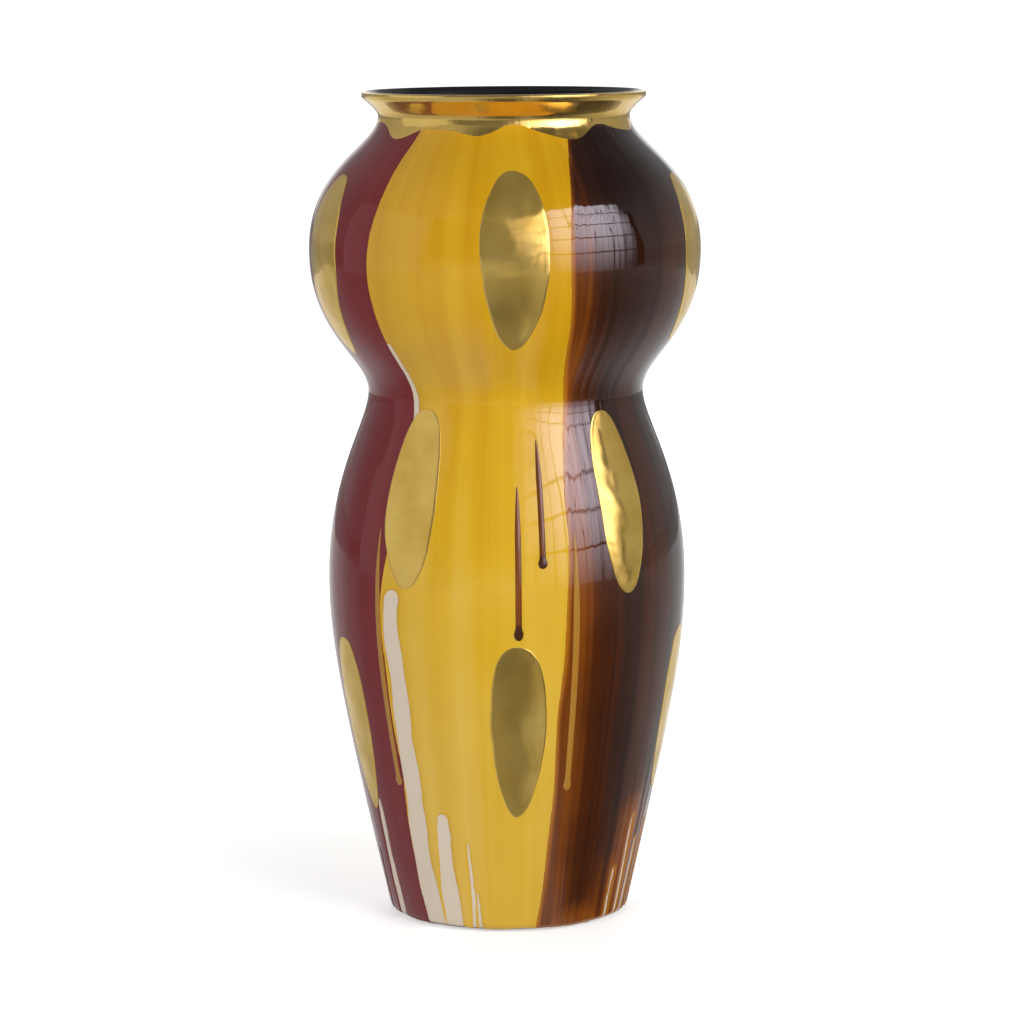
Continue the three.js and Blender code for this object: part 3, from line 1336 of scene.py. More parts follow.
    def ripple(self, skin: Skin, seed: int) -> Array:
        """A slow rise and fall of a coat's thickness.

        Args:
            skin: The body's unrolled outside.
            seed: What picks the phases.

        Returns:
            The rise at each grid point, as a share of the thickness.
        """
        draw = random.Random(seed)
        total = np.zeros(skin.height.shape)
        for count, wave, share in self.ripples:
            phase = draw.uniform(0.0, TURN)
            turn = count * skin.angle[None, :] + TURN * skin.run[:, None] / wave
            total += share * np.sin(turn + phase)
        return total

    def build(self, skin: Skin) -> None:
        """Lays the coats in the order of the pours.

        Args:
            skin: The body's unrolled outside.
        """
        seams = (self.maroon_mustard, self.mustard_brown, self.brown_mustard, self.mustard_maroon)
        first, second, third, fourth = (seam.line(skin) for seam in seams)
        mustard, brown, maroon = MUSTARD.material(), BROWN.material(), MAROON.material()
        pours = (
            ("mustard_coat_front", Slot.MUSTARD, mustard, first, second, self.lap),
            ("mustard_coat_back", Slot.MUSTARD, mustard, third, fourth, self.lap),
            ("brown_coat", Slot.BROWN, brown, second, third, 0.0),
            ("maroon_coat", Slot.MAROON, maroon, fourth - TURN, first, 0.0),
        )
        bare = self.bare(skin)
        wave = self.bottom_wave * np.sin(self.bottom_waves * skin.angle)
        foot = skin.run[:, None] - self.bottom - wave[None, :]
        crest = skin.run[-1] - skin.run[:, None]
        fade = np.clip(crest / self.crest_fade, self.crest_least, 1.0)
        calm = np.clip(crest / self.crest_calm - 1.0, 0.0, 1.0)
        for seed, (name, slot, material, left, right, lap) in enumerate(pours):
            field = self.band(skin, left, right, lap)
            field = np.minimum(np.minimum(field, -bare), np.minimum(foot, crest))
            thickness = self.thickness * fade * (1.0 + calm * self.ripple(skin, seed))
            coat = skin.lay(name, field, thickness, self.rim, self.lap_rise * calm)
            coat.data.materials.append(material)
            keep(coat, Body.VASE, slot)


@dataclass(frozen=True)
class GiltCollar:
    """The gold lustre on the lip, flare and neck, down to a wavy edge on the shoulder.

    A wave of the edge is a count round the vase, a reach and a phase.
    """

    thickness: float = 0.00012
    rim: float = 0.0012
    crest_inset: float = 0.0004
    passes: int = 8
    edge_height: float = 0.5265
    waves: tuple[tuple[int, float, float], ...] = ((9, 0.0042, 0.4), (5, 0.0022, 2.1), (17, 0.0009, 1.0))

    def build(self, skin: Skin, gold: Finish) -> None:
        """Lays the collar over the glazes.

        Args:
            skin: The body's unrolled outside.
            gold: The lustre.
        """
        low = np.full(len(skin.angle), skin.run_at(self.edge_height))
        for count, reach, phase in self.waves:
            low += reach * np.sin(count * skin.angle + phase)
        crest = skin.run[-1] - self.crest_inset
        field = np.minimum(skin.run[:, None] - low[None, :], crest - skin.run[:, None])
        collar = skin.lay("gilt_collar", field, 0.0, self.rim, self.thickness, self.passes)
        collar.data.materials.append(gold)
        keep(collar, Body.VASE, Slot.GOLD)


class ScatterTree:
    """A geometry tree that sets a flat drop out in staggered rows and presses the copies on a surface.

    The drop is flat in the XZ plane, with its thickness along Y. A ray towards the axis finds the
    place of each point, which then stands off the surface by its own thickness.
    """

    COUNTS = ("Rows", "Count", "Seed")
    PLACES = ("First Angle", "Angle Step", "First Height", "Row Drop", "Radius", "Unevenness")
    SPREADS = ("Angle Spread", "Height Spread", "Width Spread", "Length Spread")
    RAY_LENGTH = 0.3
    HAND_SCALE = 26.0
    HAND_STEP = 0.4

    def __init__(self) -> None:
        """Builds the tree."""
        counts = dict.fromkeys(self.COUNTS, Socket.COUNT)
        sizes = dict.fromkeys(self.PLACES + self.SPREADS, Socket.SIZE)
        inputs = {"Surface": Socket.OBJECT, "Finish": Socket.FINISH, **counts, **sizes}
        self.bench = TreeBench("drops_on_the_glaze", inputs)
        self.given = self.bench.given
        made = self.bench.shape("FlipFaces", {"Mesh": self.press(self.set_out())})
        made = self.bench.shape("SetShadeSmooth", {"Geometry": made})
        self.tree = self.bench.dress(made, self.given["Finish"])

    def wobble(self, name: str) -> Wire:
        """A random number for each copy.

        Args:
            name: The input that says how far it goes either way.

        Returns:
            The number.
        """
        bench, reach = self.bench, self.given[name]
        seed = bench.math("ADD", self.given["Seed"], 1.0 + self.SPREADS.index(name))
        inputs = {2: bench.math("MULTIPLY", reach, -1.0), 3: reach, "Seed": seed}
        return bench.add("FunctionNodeRandomValue", inputs, data_type="FLOAT").outputs[1]

    def set_out(self) -> Wire:
        """Sets the copies of the drop at their heights, each with its angle as an attribute.

        Returns:
            The copies.
        """
        bench, given = self.bench, self.given
        total = bench.math("MULTIPLY", given["Rows"], given["Count"])
        points = bench.shape("Points", {"Count": total})
        index = bench.shape("InputIndex")
        row = bench.math("FLOOR", bench.math("DIVIDE", index, given["Count"]))
        column = bench.math("MODULO", index, given["Count"])
        stagger = bench.math("MULTIPLY_ADD", bench.math("MODULO", row, 2.0), 0.5, column)
        angle = bench.math("MULTIPLY_ADD", stagger, given["Angle Step"], given["First Angle"])
        angle = bench.math("ADD", angle, self.wobble("Angle Spread"))
        drop = bench.math("MULTIPLY", row, given["Row Drop"])
        height = bench.math("SUBTRACT", given["First Height"], drop)
        height = bench.math("ADD", height, self.wobble("Height Spread"))
        named = {"Geometry": points, "Name": "angle", "Value": angle}
        points = bench.shape("StoreNamedAttribute", named, data_type="FLOAT")
        lifted = {"Geometry": points, "Position": bench.combined(z=height)}
        points = bench.shape("SetPosition", lifted)
        width = bench.math("ADD", self.wobble("Width Spread"), 1.0)
        length = bench.math("ADD", self.wobble("Length Spread"), 1.0)
        size = bench.combined(width, 1.0, length)
        placed = {"Points": points, "Instance": given["Geometry"], "Scale": size}
        return bench.realized(bench.shape("InstanceOnPoints", placed))

    def press(self, copies: Wire) -> Wire:
        """Lays the copies on the surface.

        Args:
            copies: The copies, still flat.

        Returns:
            The copies on the surface.
        """
        bench, given = self.bench, self.given
        place = bench.parts(bench.shape("InputPosition"))
        angle = bench.shape("InputNamedAttribute", {"Name": "angle"}, data_type="FLOAT")
        hand = bench.combined(place["X"], bench.math("MULTIPLY", angle, self.HAND_STEP), place["Z"])
        hand = bench.math("SUBTRACT", bench.noise(hand, self.HAND_SCALE, SMOOTH), 0.5)
        across = bench.math("MULTIPLY_ADD", hand, given["Unevenness"], place["X"])
        angle = bench.math("ADD", angle, bench.math("DIVIDE", across, given["Radius"]))
        back = bench.math("MULTIPLY", bench.math("COSINE", angle), -1.0)
        away = bench.combined(bench.math("SINE", angle), back)
        outer = bench.scaled(away, self.RAY_LENGTH)
        glaze = {"Object": given["Surface"]}
        target = bench.add("GeometryNodeObjectInfo", glaze, transform_space="RELATIVE")
        ray = {
            "Target Geometry": target.outputs["Geometry"],
            "Source Position": bench.vector("ADD", outer, bench.combined(z=place["Z"])),
            "Ray Direction": bench.scaled(away, -1.0),
            "Ray Length": self.RAY_LENGTH,
        }
        hit = bench.add("GeometryNodeRaycast", ray).outputs
        off = bench.scaled(hit["Hit Normal"], place["Y"])
        moved = {"Geometry": copies, "Position": bench.vector("ADD", hit["Hit Position"], off)}
        return bench.shape("SetPosition", moved)


@dataclass(frozen=True)
class Drop:
    """A flat drop shape: a rounded dab, or a thin run that ends in a bead.

    A dab with a rim is a film that pools a little along its edge. The depths go to the attribute
    "edge", from which a glaze takes its tone.
    """

    length: float
    half_width: float
    height: float
    fullness: float = 0.75
    stem: float = 1.0
    stem_taper: float = 0.3
    stem_depth: float = 0.004
    bead: float = 0.0
    bead_reach: float = 2.5
    bead_depth: float = 0.02
    rim: float = 0.0
    pooling: float = 0.5
    pool_spread: float = 0.36
    rows: int = 40
    ring: int = 20
    sunk: float = 0.0008

    def widths(self, share: Array) -> Array:
        """The share of the half width along the drop.

        Args:
            share: Shares of the length from the top.

        Returns:
            The share of the half width at each.
        """
        if not self.bead:
            return np.sqrt(np.clip(1.0 - (2.0 * share**self.fullness - 1.0) ** 2, 0.0, 1.0))
        stem = self.stem * np.clip(share / self.stem_taper, 0.0, 1.0) ** 0.5
        from_end = (1.0 - share) * self.length
        ball = np.sqrt(np.clip(1.0 - (from_end / self.bead - 1.0) ** 2, 0.0, 1.0))
        ball = np.where(from_end < 2 * self.bead, ball, 0.0)
        return np.where(from_end < self.bead, ball, np.maximum(stem, ball))

    def piece(self, name: str) -> Piece:
        """The drop as a closed mesh: X across, Y its thickness, Z from 0 down its length.

        Args:
            name: The drop's name.

        Returns:
            The drop.
        """
        share = (1.0 - np.cos(np.linspace(0.0, math.pi, self.rows + 2)[1:-1])) / 2
        width = self.widths(share)[:, None]
        turn = np.linspace(0.0, TURN, self.ring, endpoint=False)[None, :]
        x = self.half_width * width * np.cos(turn)
        crown = np.sqrt(width) * np.sin(turn)
        film = crown
        if self.rim:
            inset = (self.half_width * width - np.abs(x)) / self.rim
            film = np.sqrt(1.0 - (1.0 - np.clip(inset, 0.0, 1.0)) ** 2)
            film = film * (1.0 + self.pooling * np.exp(-((inset - 1.0) ** 2) / self.pool_spread))
        y = np.where(crown > 0, self.height * film, self.sunk * crown)
        z = np.repeat(-self.length * share[:, None], self.ring, 1)
        points = np.stack([x, y, z], -1).reshape(-1, 3)
        tips = np.array([[0.0, 0.0, 0.0], [0.0, 0.0, -self.length]])
        first, last = len(points), len(points) + 1
        final = first - self.ring
        around = [(i, (i + 1) % self.ring) for i in range(self.ring)]
        faces = ring_cells(self.rows, self.ring)[:, ::-1].tolist()
        faces += [[first, a, b] for a, b in around]
        faces += [[last, final + b, final + a] for a, b in around]
        drop = new_piece(name, np.concatenate([points, tips]), faces)
        from_end = np.concatenate([self.length + points[:, 2], [self.length, 0.0]])
        near = from_end < self.bead_reach * self.bead
        store(drop, "edge", np.where(near, self.bead_depth, self.stem_depth))
        return drop


@dataclass(frozen=True)
class Scatter:
    """One set of drops on the glaze: what is set out, where, and how far the copies differ."""

    name: str
    slot: Slot
    drop: Drop
    rows: int
    count: int
    seed: int
    first_angle: float
    angle_step: float
    first_height: float
    row_drop: float = 0.0
    angle_spread: float = 0.0
    height_spread: float = 0.0
    length_spread: float = 0.0
    width_spread: float = 0.0
    unevenness: float = 0.0
    radius: float = 0.115

    def build(self, tree: ScatterTree, surface: Piece, finish: Finish) -> None:
        """Sets the drops out on a surface, as one piece.

        Args:
            tree: The tree that presses them on.
            surface: The glaze surface.
            finish: Their material.
        """
        piece = self.drop.piece(self.name)
        names = tree.COUNTS + tree.PLACES + tree.SPREADS
        values = {name: getattr(self, name.lower().replace(" ", "_")) for name in names}
        grow(piece, tree.tree, {"Surface": surface, "Finish": finish, **values})
        keep(piece, Body.VASE, self.slot)


GOLD_DABS = Scatter(
    name="gold_dabs",
    slot=Slot.GOLD,
    drop=Drop(
        length=0.112,
        half_width=0.0195,
        height=0.00022,
        fullness=0.82,
        rim=0.0012,
        rows=64,
        ring=48,
    ),
    rows=3,
    count=5,
    seed=7,
    first_angle=math.radians(4.0),
    angle_step=math.radians(72.0),
    first_height=0.503,
    row_drop=0.152,
    length_spread=0.08,
    width_spread=0.12,
    height_spread=0.006,
    angle_spread=math.radians(2.0),
    unevenness=0.004,
)
BROWN_RUNS = Scatter(
    name="brown_runs",
    slot=Slot.BROWN,
    drop=Drop(length=0.085, half_width=0.003, height=0.0009, stem=0.66, bead=0.0037),
    rows=1,
    count=2,
    seed=3,
    first_angle=math.radians(3.0),
    angle_step=math.radians(9.5),
    first_height=0.30,
    height_spread=0.03,
    length_spread=0.35,
    angle_spread=math.radians(1.5),
)
MUSTARD_RUNS = Scatter(
    name="mustard_runs",
    slot=Slot.MUSTARD,
    drop=Drop(length=0.175, half_width=0.0032, height=0.0009, stem=0.68, bead=0.004),
    rows=1,
    count=2,
    seed=12,
    first_angle=math.radians(-45.0),
    angle_step=math.radians(67.5),
    first_height=0.265,
    height_spread=0.008,
    length_spread=0.06,
    angle_spread=math.radians(0.5),
)


@dataclass(frozen=True)
class PlantingLiner:
    """The black liner pot that hangs in the mouth: ribbed inside, with drain holes in its floor.

    A point of a ring on its floor is how far in it lies and how high.
    """

    outline: VaseOutline
    standing: float
    wall: float = 0.0022
    clearance: float = 0.0003
    bottom_height: float = 0.398
    bottom_radius: float = 0.058
    bottom_edge: float = 0.002
    bottom_lean: float = 0.0003
    floor_thickness: float = 0.003
    floor_rings: Span = (0.048, 0.026)
    ring_shape: tuple[Span, ...] = ((0.0, 0.0), (0.0006, 0.0008), (0.0016, 0.0008), (0.0022, 0.0))
    fillet_up: Span = (0.001, 0.008)
    fillet_in: float = 0.006
    foot_height: float = 0.004
    foot_width: float = 0.005
    collar_drop: float = 0.004
    hole_radius: float = 0.0025
    hole_sides: int = 24
    hole_depth: float = 0.012
    hole_count: int = 8
    hole_circle: float = 0.036
    rib_count: int = 24
    rib_size: Span = (0.0012, 0.0016)
    rib_steps: int = 12
    rib_margin: float = 0.016
    segments: int = 120
    sharp_degrees: float = 35.0

    def collar(self, offset: float) -> Array:
        """The mouth's inside moved towards the axis, up to the collar's top.

        Args:
            offset: How far it is moved.

        Returns:
            Radius and height of each point.
        """
        mouth = self.outline.mouth()
        moved = mouth - offset * normals(mouth)
        return moved[moved[:, 1] < self.outline.lip_height - self.collar_drop]

    def floor_top(self) -> float:
        """The height of the floor's upper face."""
        return self.bottom_height + self.foot_height + self.floor_thickness

    def section(self) -> Array:
        """The liner's section, from the axis under the floor, up the outside and back to the axis.

        Returns:
            Radius and height of each point.
        """
        bottom, low = self.bottom_radius, self.bottom_height
        under, upper = low + self.foot_height, self.floor_top()
        inner_foot = bottom - self.foot_width
        outer, inner = self.collar(self.clearance), self.collar(self.clearance + self.wall)
        rim_centre = (outer[-1] + inner[-1]) / 2
        across = outer[-1] - rim_centre
        start = math.degrees(math.atan2(across[1], across[0]))
        rim = arc(rim_centre, float(np.linalg.norm(across)), start, start + 2 * QUARTER, steps=10)
        corner = np.array([bottom - self.wall, upper])
        rounded = [
            (bottom - self.bottom_edge, low),
            (bottom, low),
            (bottom + self.bottom_lean, low + self.bottom_edge),
        ]
        shape = self.ring_shape
        rings = [(ring - inset, upper + rise) for ring in self.floor_rings for inset, rise in shape]
        stretches = [
            [(0.0, under), (inner_foot, under), (inner_foot, low)],
            bezier(rounded, steps=6),
            outer,
            rim[1:-1],
            inner[::-1],
            bezier([corner + self.fillet_up, corner, corner - (self.fillet_in, 0.0)], steps=8),
            rings,
            [(0.0, upper)],
        ]
        return joined(stretches) + (0.0, self.standing)

    def tree(self) -> bpy.types.NodeTree:
        """A geometry tree that bores the drain holes and stands the ribs round the inside.

        Returns:
            The tree.
        """
        counts = dict.fromkeys(("Hole Count", "Rib Count"), Socket.COUNT)
        holes = dict.fromkeys(("Hole Radius", "Hole Circle", "Floor Height"), Socket.SIZE)
        bars = dict.fromkeys(("Rib Height", "Rib Circle", "Rib Length", "Rib Lean"), Socket.SIZE)
        inputs = {**counts, **holes, **bars, "Finish": Socket.FINISH}
        bench = TreeBench("liner_holes_and_ribs", inputs)
        given = bench.given
        circle = {"Vertices": given["Hole Count"], "Radius": given["Hole Circle"]}
        ring = bench.shape("MeshToPoints", {"Mesh": bench.shape("MeshCircle", circle)})
        middle = bench.shape("Points", {"Count": 1})
        bore = {"Vertices": self.hole_sides, "Radius": given["Hole Radius"], "Depth": self.hole_depth}
        placed = {
            "Points": bench.shape("JoinGeometry", {"Geometry": [ring, middle]}),
            "Instance": bench.shape("MeshCylinder", bore),
        }
        drills = bench.raised(placed, given["Floor Height"])
        cut = {"Mesh 1": given["Geometry"], "Mesh 2": drills}
        bored = bench.shape("MeshBoolean", cut, operation="DIFFERENCE")
        rib = {"Size": bench.combined(*self.rib_size, given["Rib Length"]), "Vertices Z": self.rib_steps}
        circle = {"Vertices": given["Rib Count"], "Radius": given["Rib Circle"]}
        index = bench.shape("InputIndex")
        turn = bench.math("DIVIDE", bench.math("MULTIPLY", index, TURN), given["Rib Count"])
        placed = {
            "Points": bench.shape("MeshCircle", circle),
            "Instance": bench.shape("MeshCube", rib),
            "Rotation": bench.combined(0.0, given["Rib Lean"], turn),
        }
        ribs = bench.raised(placed, given["Rib Height"])
        whole = bench.shape("JoinGeometry", {"Geometry": [bored, ribs]})
        return bench.dress(bench.realized(whole), given["Finish"])

    def build(self, lathe: LatheTree) -> None:
        """Turns the liner, bores it and ribs it.

        Args:
            lathe: The tree that turns it.
        """
        finish = LINER_PLASTIC.material()
        finishes = {Zone.OUTSIDE: finish}
        liner = lathe.turn("planting_liner_pot", self.section(), self.segments, finishes)
        throat = self.collar(self.clearance + self.wall)[0]
        foot = np.array([self.bottom_radius - self.wall, self.floor_top()])
        middle = (throat + foot) / 2
        reach = throat - foot
        values = {
            "Hole Count": self.hole_count,
            "Hole Radius": self.hole_radius,
            "Hole Circle": self.hole_circle,
            "Floor Height": self.standing + self.floor_top() - self.floor_thickness / 2,
            "Rib Count": self.rib_count,
            "Rib Circle": float(middle[0]),
            "Rib Height": float(middle[1]) + self.standing,
            "Rib Length": float(np.linalg.norm(reach)) - self.rib_margin,
            "Rib Lean": math.atan2(reach[0], reach[1]),
            "Finish": finish,
        }
        grow(liner, self.tree(), values)
        shade(liner, self.sharp_degrees)
        keep(liner, Body.LINER, Slot.LINER, "planting_liner")


@dataclass(frozen=True)
class DrainPlug:
    """The rubber bung in the drain hole, with a flange on the floor and a knob to pull it by."""

    outline: VaseOutline
    standing: float
    clearance: float = 0.0003
    draft: float = 0.0008
    shoulder: Span = (0.0001, 0.0006)
    flange_overlap: float = 0.007
    flange_thickness: float = 0.0035
    flange_chamfer: float = 0.0004
    nose: float = 0.002
    neck_radius: float = 0.0045
    neck_fillet: float = 0.0025
    knob_radius: float = 0.008
    knob_height: float = 0.014
    knob_edge: float = 0.003
    edge: float = 0.001
    segments: int = 64

    def section(self) -> Array:
        """The plug's section, from its tip up to the top of its knob.

        Returns:
            Radius and height of each point.
        """
        floor = self.outline.floor_top
        hole = self.outline.drain_radius
        stem, flange = hole - self.clearance, hole + self.flange_overlap
        tip = self.outline.foot_recess - self.nose
        nose = stem - self.draft
        neck, knob = self.neck_radius, self.knob_radius
        top = floor + self.flange_thickness
        crown = top + self.knob_height
        middle, brow = (top + crown) / 2, crown - self.knob_edge
        root, chamfer = self.neck_fillet, self.flange_chamfer
        inset, drop = self.shoulder
        stretches = [
            [(0.0, tip)],
            bezier([(nose - self.edge, tip), (nose, tip), (nose, tip + self.edge)], steps=6),
            [(stem - inset, floor - drop), (stem, floor), (flange - chamfer, floor)],
            bezier([(flange, floor + chamfer), (flange, top), (flange - 2 * self.edge, top)], steps=8),
            bezier([(neck + root, top), (neck, top), (neck, top + root)], steps=8),
            bezier([(neck, middle), (knob, middle), (knob, brow)], steps=12),
            bezier([(knob, brow), (knob, crown), (0.0, crown)], steps=14),
        ]
        return joined(stretches) + (0.0, self.standing)

    def build(self, lathe: LatheTree) -> None:
        """Turns the plug.

        Args:
            lathe: The tree that turns it.
        """
        rubber = {Zone.OUTSIDE: PLUG_RUBBER.material()}
        plug = lathe.turn("drain_bung", self.section(), self.segments, rubber)
        keep(plug, Body.PLUG, Slot.PLUG, "drain_plug")


@dataclass(frozen=True)
class FootPads:
    """The felt pads under the foot ring, each a soft-edged disc."""

    count: int = 4
    edge: float = 0.0004
    top_edge: float = 0.0002
    middle: float = 0.001
    step: float = 0.0005
    segments: int = 48
    fuzz: float = 0.00008

    def section(self, radius: float, thickness: float) -> Array:
        """A pad's section.

        Args:
            radius: The pad's radius.
            thickness: Its thickness.

        Returns:
            Radius and height of each point.
        """
        inner, upper = radius - self.edge, thickness - self.top_edge
        stretches = [
            [(0.0, 0.0)],
            even(np.array([(self.middle, 0.0), (inner, 0.0)]), self.step),
            bezier([(inner, 0.0), (radius, 0.0), (radius, self.edge)], steps=5),
            bezier([(radius, upper), (radius, thickness), (radius - self.top_edge, thickness)], steps=3),
            [(0.0, thickness)],
        ]
        return joined(stretches)

    def build(self, lathe: LatheTree) -> None:
        """Turns one pad for each solid and moves its mesh to that solid's place.

        Args:
            lathe: The tree that turns them.
        """
        felt = PAD_FELT.material()
        for i in range(1, self.count + 1):
            low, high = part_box(f"foot_pad_{i}")
            section = self.section((high.x - low.x) / 2, high.z - low.z)
            pad = lathe.turn(f"felt_pad_{i}", section, self.segments, {Zone.OUTSIDE: felt})
            centre = (low + high) / 2
            draw = random.Random(i)
            for vertex in pad.data.vertices:
                x, y, z = vertex.co
                pull = 1.0 - self.fuzz * draw.random() / max(math.hypot(x, y), self.middle)
                vertex.co = (x * pull + centre.x, y * pull + centre.y, z + low.z)
            keep(pad, Body.VASE, Slot.PAD, f"foot_pad_{i}")


def show_in_gloss(card: Piece, glow: Array, tint: Colour = WHITE) -> None:
    """Shows a card to reflections alone.

    Args:
        card: The card.
        glow: How bright each of its points is.
        tint: Its colour.
    """
    bench = FinishBench(card.name)
    store(card, "glow", glow)
    dressed = {
        "Base Color": (0.0, 0.0, 0.0, 1.0),
        "Specular IOR Level": 0.0,
        "Emission Color": (*tint, 1.0),
        "Emission Strength": bench.attribute("glow"),
    }
    card.data.materials.append(bench.dress(dressed))
    card.visible_camera = False
    card.visible_diffuse = False
    card.visible_shadow = False


@dataclass(frozen=True)
class Card:
    """A glowing card that only reflections show, divided into panes.

    It stands at an angle round from the front. A strength of 1 is white. The strength falls to the
    share fade at the two sides, from a peak that lean moves off the middle, and to the share sill at
    the lower edge.
    """

    name: str
    degrees: float
    distance: float
    low: float
    high: float
    width: float
    strength: float
    panes: tuple[int, int] = (1, 1)
    bar: float = 0.0
    fade: float = 1.0
    lean: float = 1.6
    sill: float = 1.0
    sill_span: float = 0.5
    tint: Colour = WHITE

    def glow(self, x: float, z: float) -> float:
        """How bright the card is at a place on it.

        Args:
            x: How far the place lies to the side of the card's middle.
            z: Its height.

        Returns:
            The brightness.
        """
        share = math.sin(math.pi * (x / self.width + 0.5) ** self.lean)
        climb = min(1.0, (z - self.low) / (self.sill_span * (self.high - self.low)))
        level = self.strength * (self.fade + (1.0 - self.fade) * share)
        return level * (self.sill + (1.0 - self.sill) * climb)

    def build(self) -> None:
        """Makes the card."""
        turn = math.radians(self.degrees)
        away = self.distance * np.array([math.sin(turn), -math.cos(turn), 0.0])
        along = np.array([math.cos(turn), math.sin(turn), 0.0])
        up = np.array([0.0, 0.0, 1.0])
        across, tall = self.panes
        step_x, step_z = self.width / across, (self.high - self.low) / tall
        corners = []
        for i in range(across):
            for k in range(tall):
                x0 = i * step_x + (self.bar - self.width) / 2
                z0 = k * step_z + self.bar / 2 + self.low
                x1, z1 = x0 + step_x - self.bar, z0 + step_z - self.bar
                corners += [(x0, z0), (x1, z0), (x1, z1), (x0, z1)]
        points = np.array([away + along * x + up * z for x, z in corners])
        faces = np.arange(len(corners)).reshape(-1, 4).tolist()
        card = new_piece(self.name, points, faces)
        show_in_gloss(card, np.array([self.glow(x, z) for x, z in corners]), self.tint)


@dataclass(frozen=True)
class FloorFlag:
    """A flag on the floor that only reflections show, dark in front and bright behind.

    A station is an angle round from the front, and how bright the flag is there at each radius.
    """

    name: str = "dark_flag"
    lift: float = 0.0004
    count: int = 61
    radii: tuple[float, float, float] = (0.081, 0.6, 3.2)
    stations: tuple[tuple[float, float, float, float], ...] = (
        (-170.0, 0.9, 0.9, 0.9),
        (-110.0, 0.42, 0.43, 0.42),
        (-30.0, 0.85, 0.4, 0.5),
        (-9.0, 0.3, 0.04, 0.5),
        (6.0, 0.16, 0.03, 0.5),
        (22.0, 0.6, 0.3, 0.5),
        (36.0, 0.06, 0.04, 0.4),
        (60.0, 0.06, 0.04, 0.38),
        (115.0, 0.5, 0.52, 0.4),
        (170.0, 0.9, 0.9, 0.9),
    )

    def build(self) -> None:
        """Lays the flag."""
        degrees, *levels = np.array(self.stations).T
        places = np.linspace(degrees[0], degrees[-1], self.count)
        turns = np.radians(places)
        height = np.full(self.count, self.lift)
        rings = [np.stack([r * np.sin(turns), -r * np.cos(turns), height], 1) for r in self.radii]
        glow = [np.interp(places, degrees, level) for level in levels]
        gaps = len(self.radii) - 1
        starts = [i + ring * self.count for ring in range(gaps) for i in range(self.count - 1)]
        faces = [[i, i + 1, i + self.count + 1, i + self.count] for i in starts]
        flag = new_piece(self.name, np.concatenate(rings), faces)
        show_in_gloss(flag, np.concatenate(glow))


@dataclass(frozen=True)
class Lamp:
    """A soft square lamp that lights the object but shows in no reflection.

    Its place is an angle round from the front, a rise over the level and a distance.
    """

    name: str
    degrees: float
    rise: float
    distance: float
    size: float
    power: float

    def build(self, aim: Vector) -> None:
        """Hangs the lamp.

        Args:
            aim: The point that it shines at.
        """
        data = bpy.data.lights.new(self.name, "AREA")
        data.size = self.size
        data.energy = self.power
        lamp = bpy.data.objects.new(self.name, data)
        turn, lift = math.radians(self.degrees), math.radians(self.rise)
        level = math.cos(lift)
        away = Vector((math.sin(turn) * level, -math.cos(turn) * level, math.sin(lift)))
        lamp.location = aim + away * self.distance
        lamp.rotation_euler = (-away).to_track_quat("-Z", "Y").to_euler()
        lamp.visible_glossy = False
        bpy.context.scene.collection.objects.link(lamp)


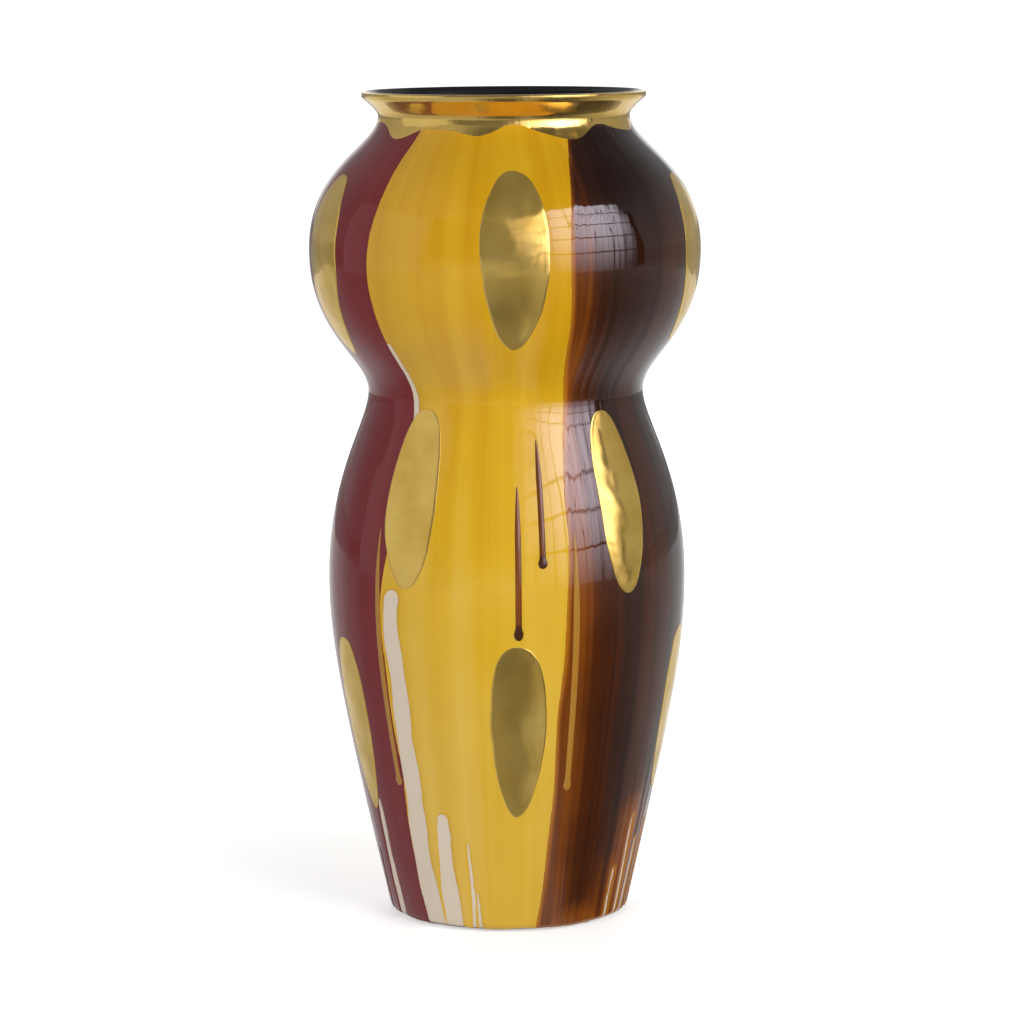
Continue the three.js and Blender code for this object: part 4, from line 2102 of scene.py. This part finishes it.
@dataclass(frozen=True)
class Studio:
    """The camera, the pale floor, the window and walls that the glaze reflects, and the soft light.

    Spans of the room are stretches of a direction's X, Y or Z.
    """

    standing: float
    distance: float = 2.6408
    eye_height: float = 0.6329
    aim_height: float = 0.2685
    side: float = 0.0037
    focal_pixels: float = 3974.5
    roll_degrees: float = -0.37
    sensor: float = 36.0
    floor_reach: float = 220.0
    floor_tone: float = 0.86
    floor_rough: float = 0.9
    floor_span: Span = (0.15, 0.9)
    floor_glow: Span = (0.5, 0.95)
    floor_mirrored: float = 0.12
    room: Span = (0.36, 0.32)
    room_span: Span = (-0.8, 0.8)
    ceiling: float = 0.3
    ceiling_span: Span = (0.3, 0.8)
    ceiling_glow: float = 0.35
    ceiling_glow_span: Span = (-0.7, -0.2)
    behind_span: Span = (0.9, 0.985)
    flag: FloorFlag = FloorFlag()
    cards: tuple[Card, ...] = (
        Card(
            name="window_right",
            degrees=44.0,
            distance=2.2,
            low=0.02,
            high=2.3,
            width=3.5,
            strength=7.0,
            panes=(9, 5),
            bar=0.035,
            fade=0.06,
            sill=0.12,
            tint=(0.95, 0.88, 1.0),
        ),
        Card("wall_left", degrees=-78.0, distance=2.4, low=0.0, high=1.9, width=2.6, strength=0.62),
        Card("dark_front", degrees=-18.0, distance=2.9, low=0.3, high=2.4, width=3.1, strength=0.147),
        Card("dark_right", degrees=48.0, distance=2.8, low=0.0, high=2.3, width=4.4, strength=0.035),
    )
    lamps: tuple[Lamp, ...] = (
        Lamp("key_lamp", degrees=40.0, rise=22.0, distance=2.2, size=1.4, power=30.0),
        Lamp("fill_lamp", degrees=-45.0, rise=12.0, distance=2.4, size=1.8, power=21.5),
        Lamp("top_lamp", degrees=0.0, rise=80.0, distance=2.4, size=1.6, power=5.0),
        Lamp("back_lamp", degrees=178.0, rise=25.0, distance=2.6, size=1.8, power=32.0),
    )

    def camera(self) -> None:
        """Makes the camera at the photographed angle."""
        data = bpy.data.cameras.new("camera")
        data.sensor_width = self.sensor
        data.lens = self.sensor * self.focal_pixels / PHOTO_SIDE
        eye = Vector((self.side, -self.distance, self.eye_height + self.standing))
        aim = Vector((self.side, 0.0, self.aim_height + self.standing))
        camera = bpy.data.objects.new("camera", data)
        camera.location = eye
        turn = (aim - eye).to_track_quat("-Z", "Y").to_euler()
        turn.rotate_axis("Z", math.radians(self.roll_degrees))
        camera.rotation_euler = turn
        bpy.context.scene.collection.objects.link(camera)
        bpy.context.scene.camera = camera

    def floor(self) -> None:
        """Makes the white floor, which keeps the object's shadow."""
        reach = self.floor_reach
        corners = [(-reach, -reach), (reach, -reach), (reach, reach), (-reach, reach)]
        points = np.array([(x, y, 0.0) for x, y in corners])
        floor = new_piece("floor", points, [[0, 1, 2, 3]])
        bench = FinishBench("pale_floor")
        straight, mirrored = bench.rays()
        away = bench.add("ShaderNodeVectorMath", {0: bench.object_place()}, operation="LENGTH")
        white = bench.spread(away.outputs["Value"], self.floor_span, self.floor_glow)
        seen = bench.math("MULTIPLY", straight, white)
        dressed = {
            "Base Color": (self.floor_tone, self.floor_tone, self.floor_tone, 1.0),
            "Roughness": self.floor_rough,
            "Specular IOR Level": 0.0,
            "Emission Color": (*WHITE, 1.0),
            "Emission Strength": bench.math("MULTIPLY_ADD", mirrored, self.floor_mirrored, seen),
        }
        floor.data.materials.append(bench.dress(dressed))

    def world(self) -> None:
        """Makes the white background, and the dimmer room to the sides, above and in front."""
        world = bpy.data.worlds.new("surroundings")
        world.use_nodes = True
        bpy.context.scene.world = world
        bench = NodeBench(world.node_tree)
        way = bench.parts(bench.add("ShaderNodeTexCoord").outputs["Generated"])
        straight, mirrored = bench.rays()
        sides = bench.spread(way["X"], self.room_span, self.room)
        dimmed = bench.spread(way["Z"], self.ceiling_span, (1.0, self.ceiling))
        room = bench.math("MULTIPLY", sides, dimmed)
        overhead = bench.math("MULTIPLY", mirrored, bench.spread(way["Z"], self.ceiling_span, (0.0, 1.0)))
        glow = bench.spread(way["X"], self.ceiling_glow_span, (self.ceiling_glow, 0.0))
        room = bench.math("MULTIPLY_ADD", overhead, glow, room)
        behind = bench.math("MULTIPLY", mirrored, bench.spread(way["Y"], self.behind_span, (0.0, 1.0)))
        white = bench.math("MAXIMUM", straight, behind)
        strength = bench.out("ShaderNodeMix", {"Factor": white, 2: room, 3: 1.0}, data_type="FLOAT")
        background = world.node_tree.nodes["Background"]
        bench.feed(background, {"Color": (*WHITE, 1.0), "Strength": strength})

    def build(self) -> None:
        """Sets the whole stage."""
        self.camera()
        self.floor()
        self.world()
        for card in self.cards:
            card.build()
        self.flag.build()
        for lamp in self.lamps:
            lamp.build(Vector((0.0, 0.0, self.aim_height)))


def main() -> None:
    """Loads the frame and builds the pieces in order."""
    logging.basicConfig(level=logging.INFO, format="%(name)s %(message)s")
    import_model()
    bpy.context.scene.view_settings.view_transform = "Standard"
    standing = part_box("vase_shell")[0].z
    outline = VaseOutline()
    Studio(standing).build()
    lathe = LatheTree()
    body = VaseBody(outline, standing)
    body.build(lathe)
    skin = Skin(body.outside(), columns=540, row_step=0.0024)
    GlazeCoats().build(skin)
    GiltCollar().build(skin, GOLD.material())
    surface = skin.surface("glaze_surface")
    scatter = ScatterTree()
    GOLD_DABS.build(scatter, surface, SATIN_GOLD.material())
    BROWN_RUNS.build(scatter, surface, bpy.data.materials[BROWN.name])
    MUSTARD_RUNS.build(scatter, surface, OCHRE.material())
    bpy.data.objects.remove(surface)
    PlantingLiner(outline, standing).build(lathe)
    DrainPlug(outline, standing).build(lathe)
    FootPads().build(lathe)


if __name__ == "__main__":
    main()
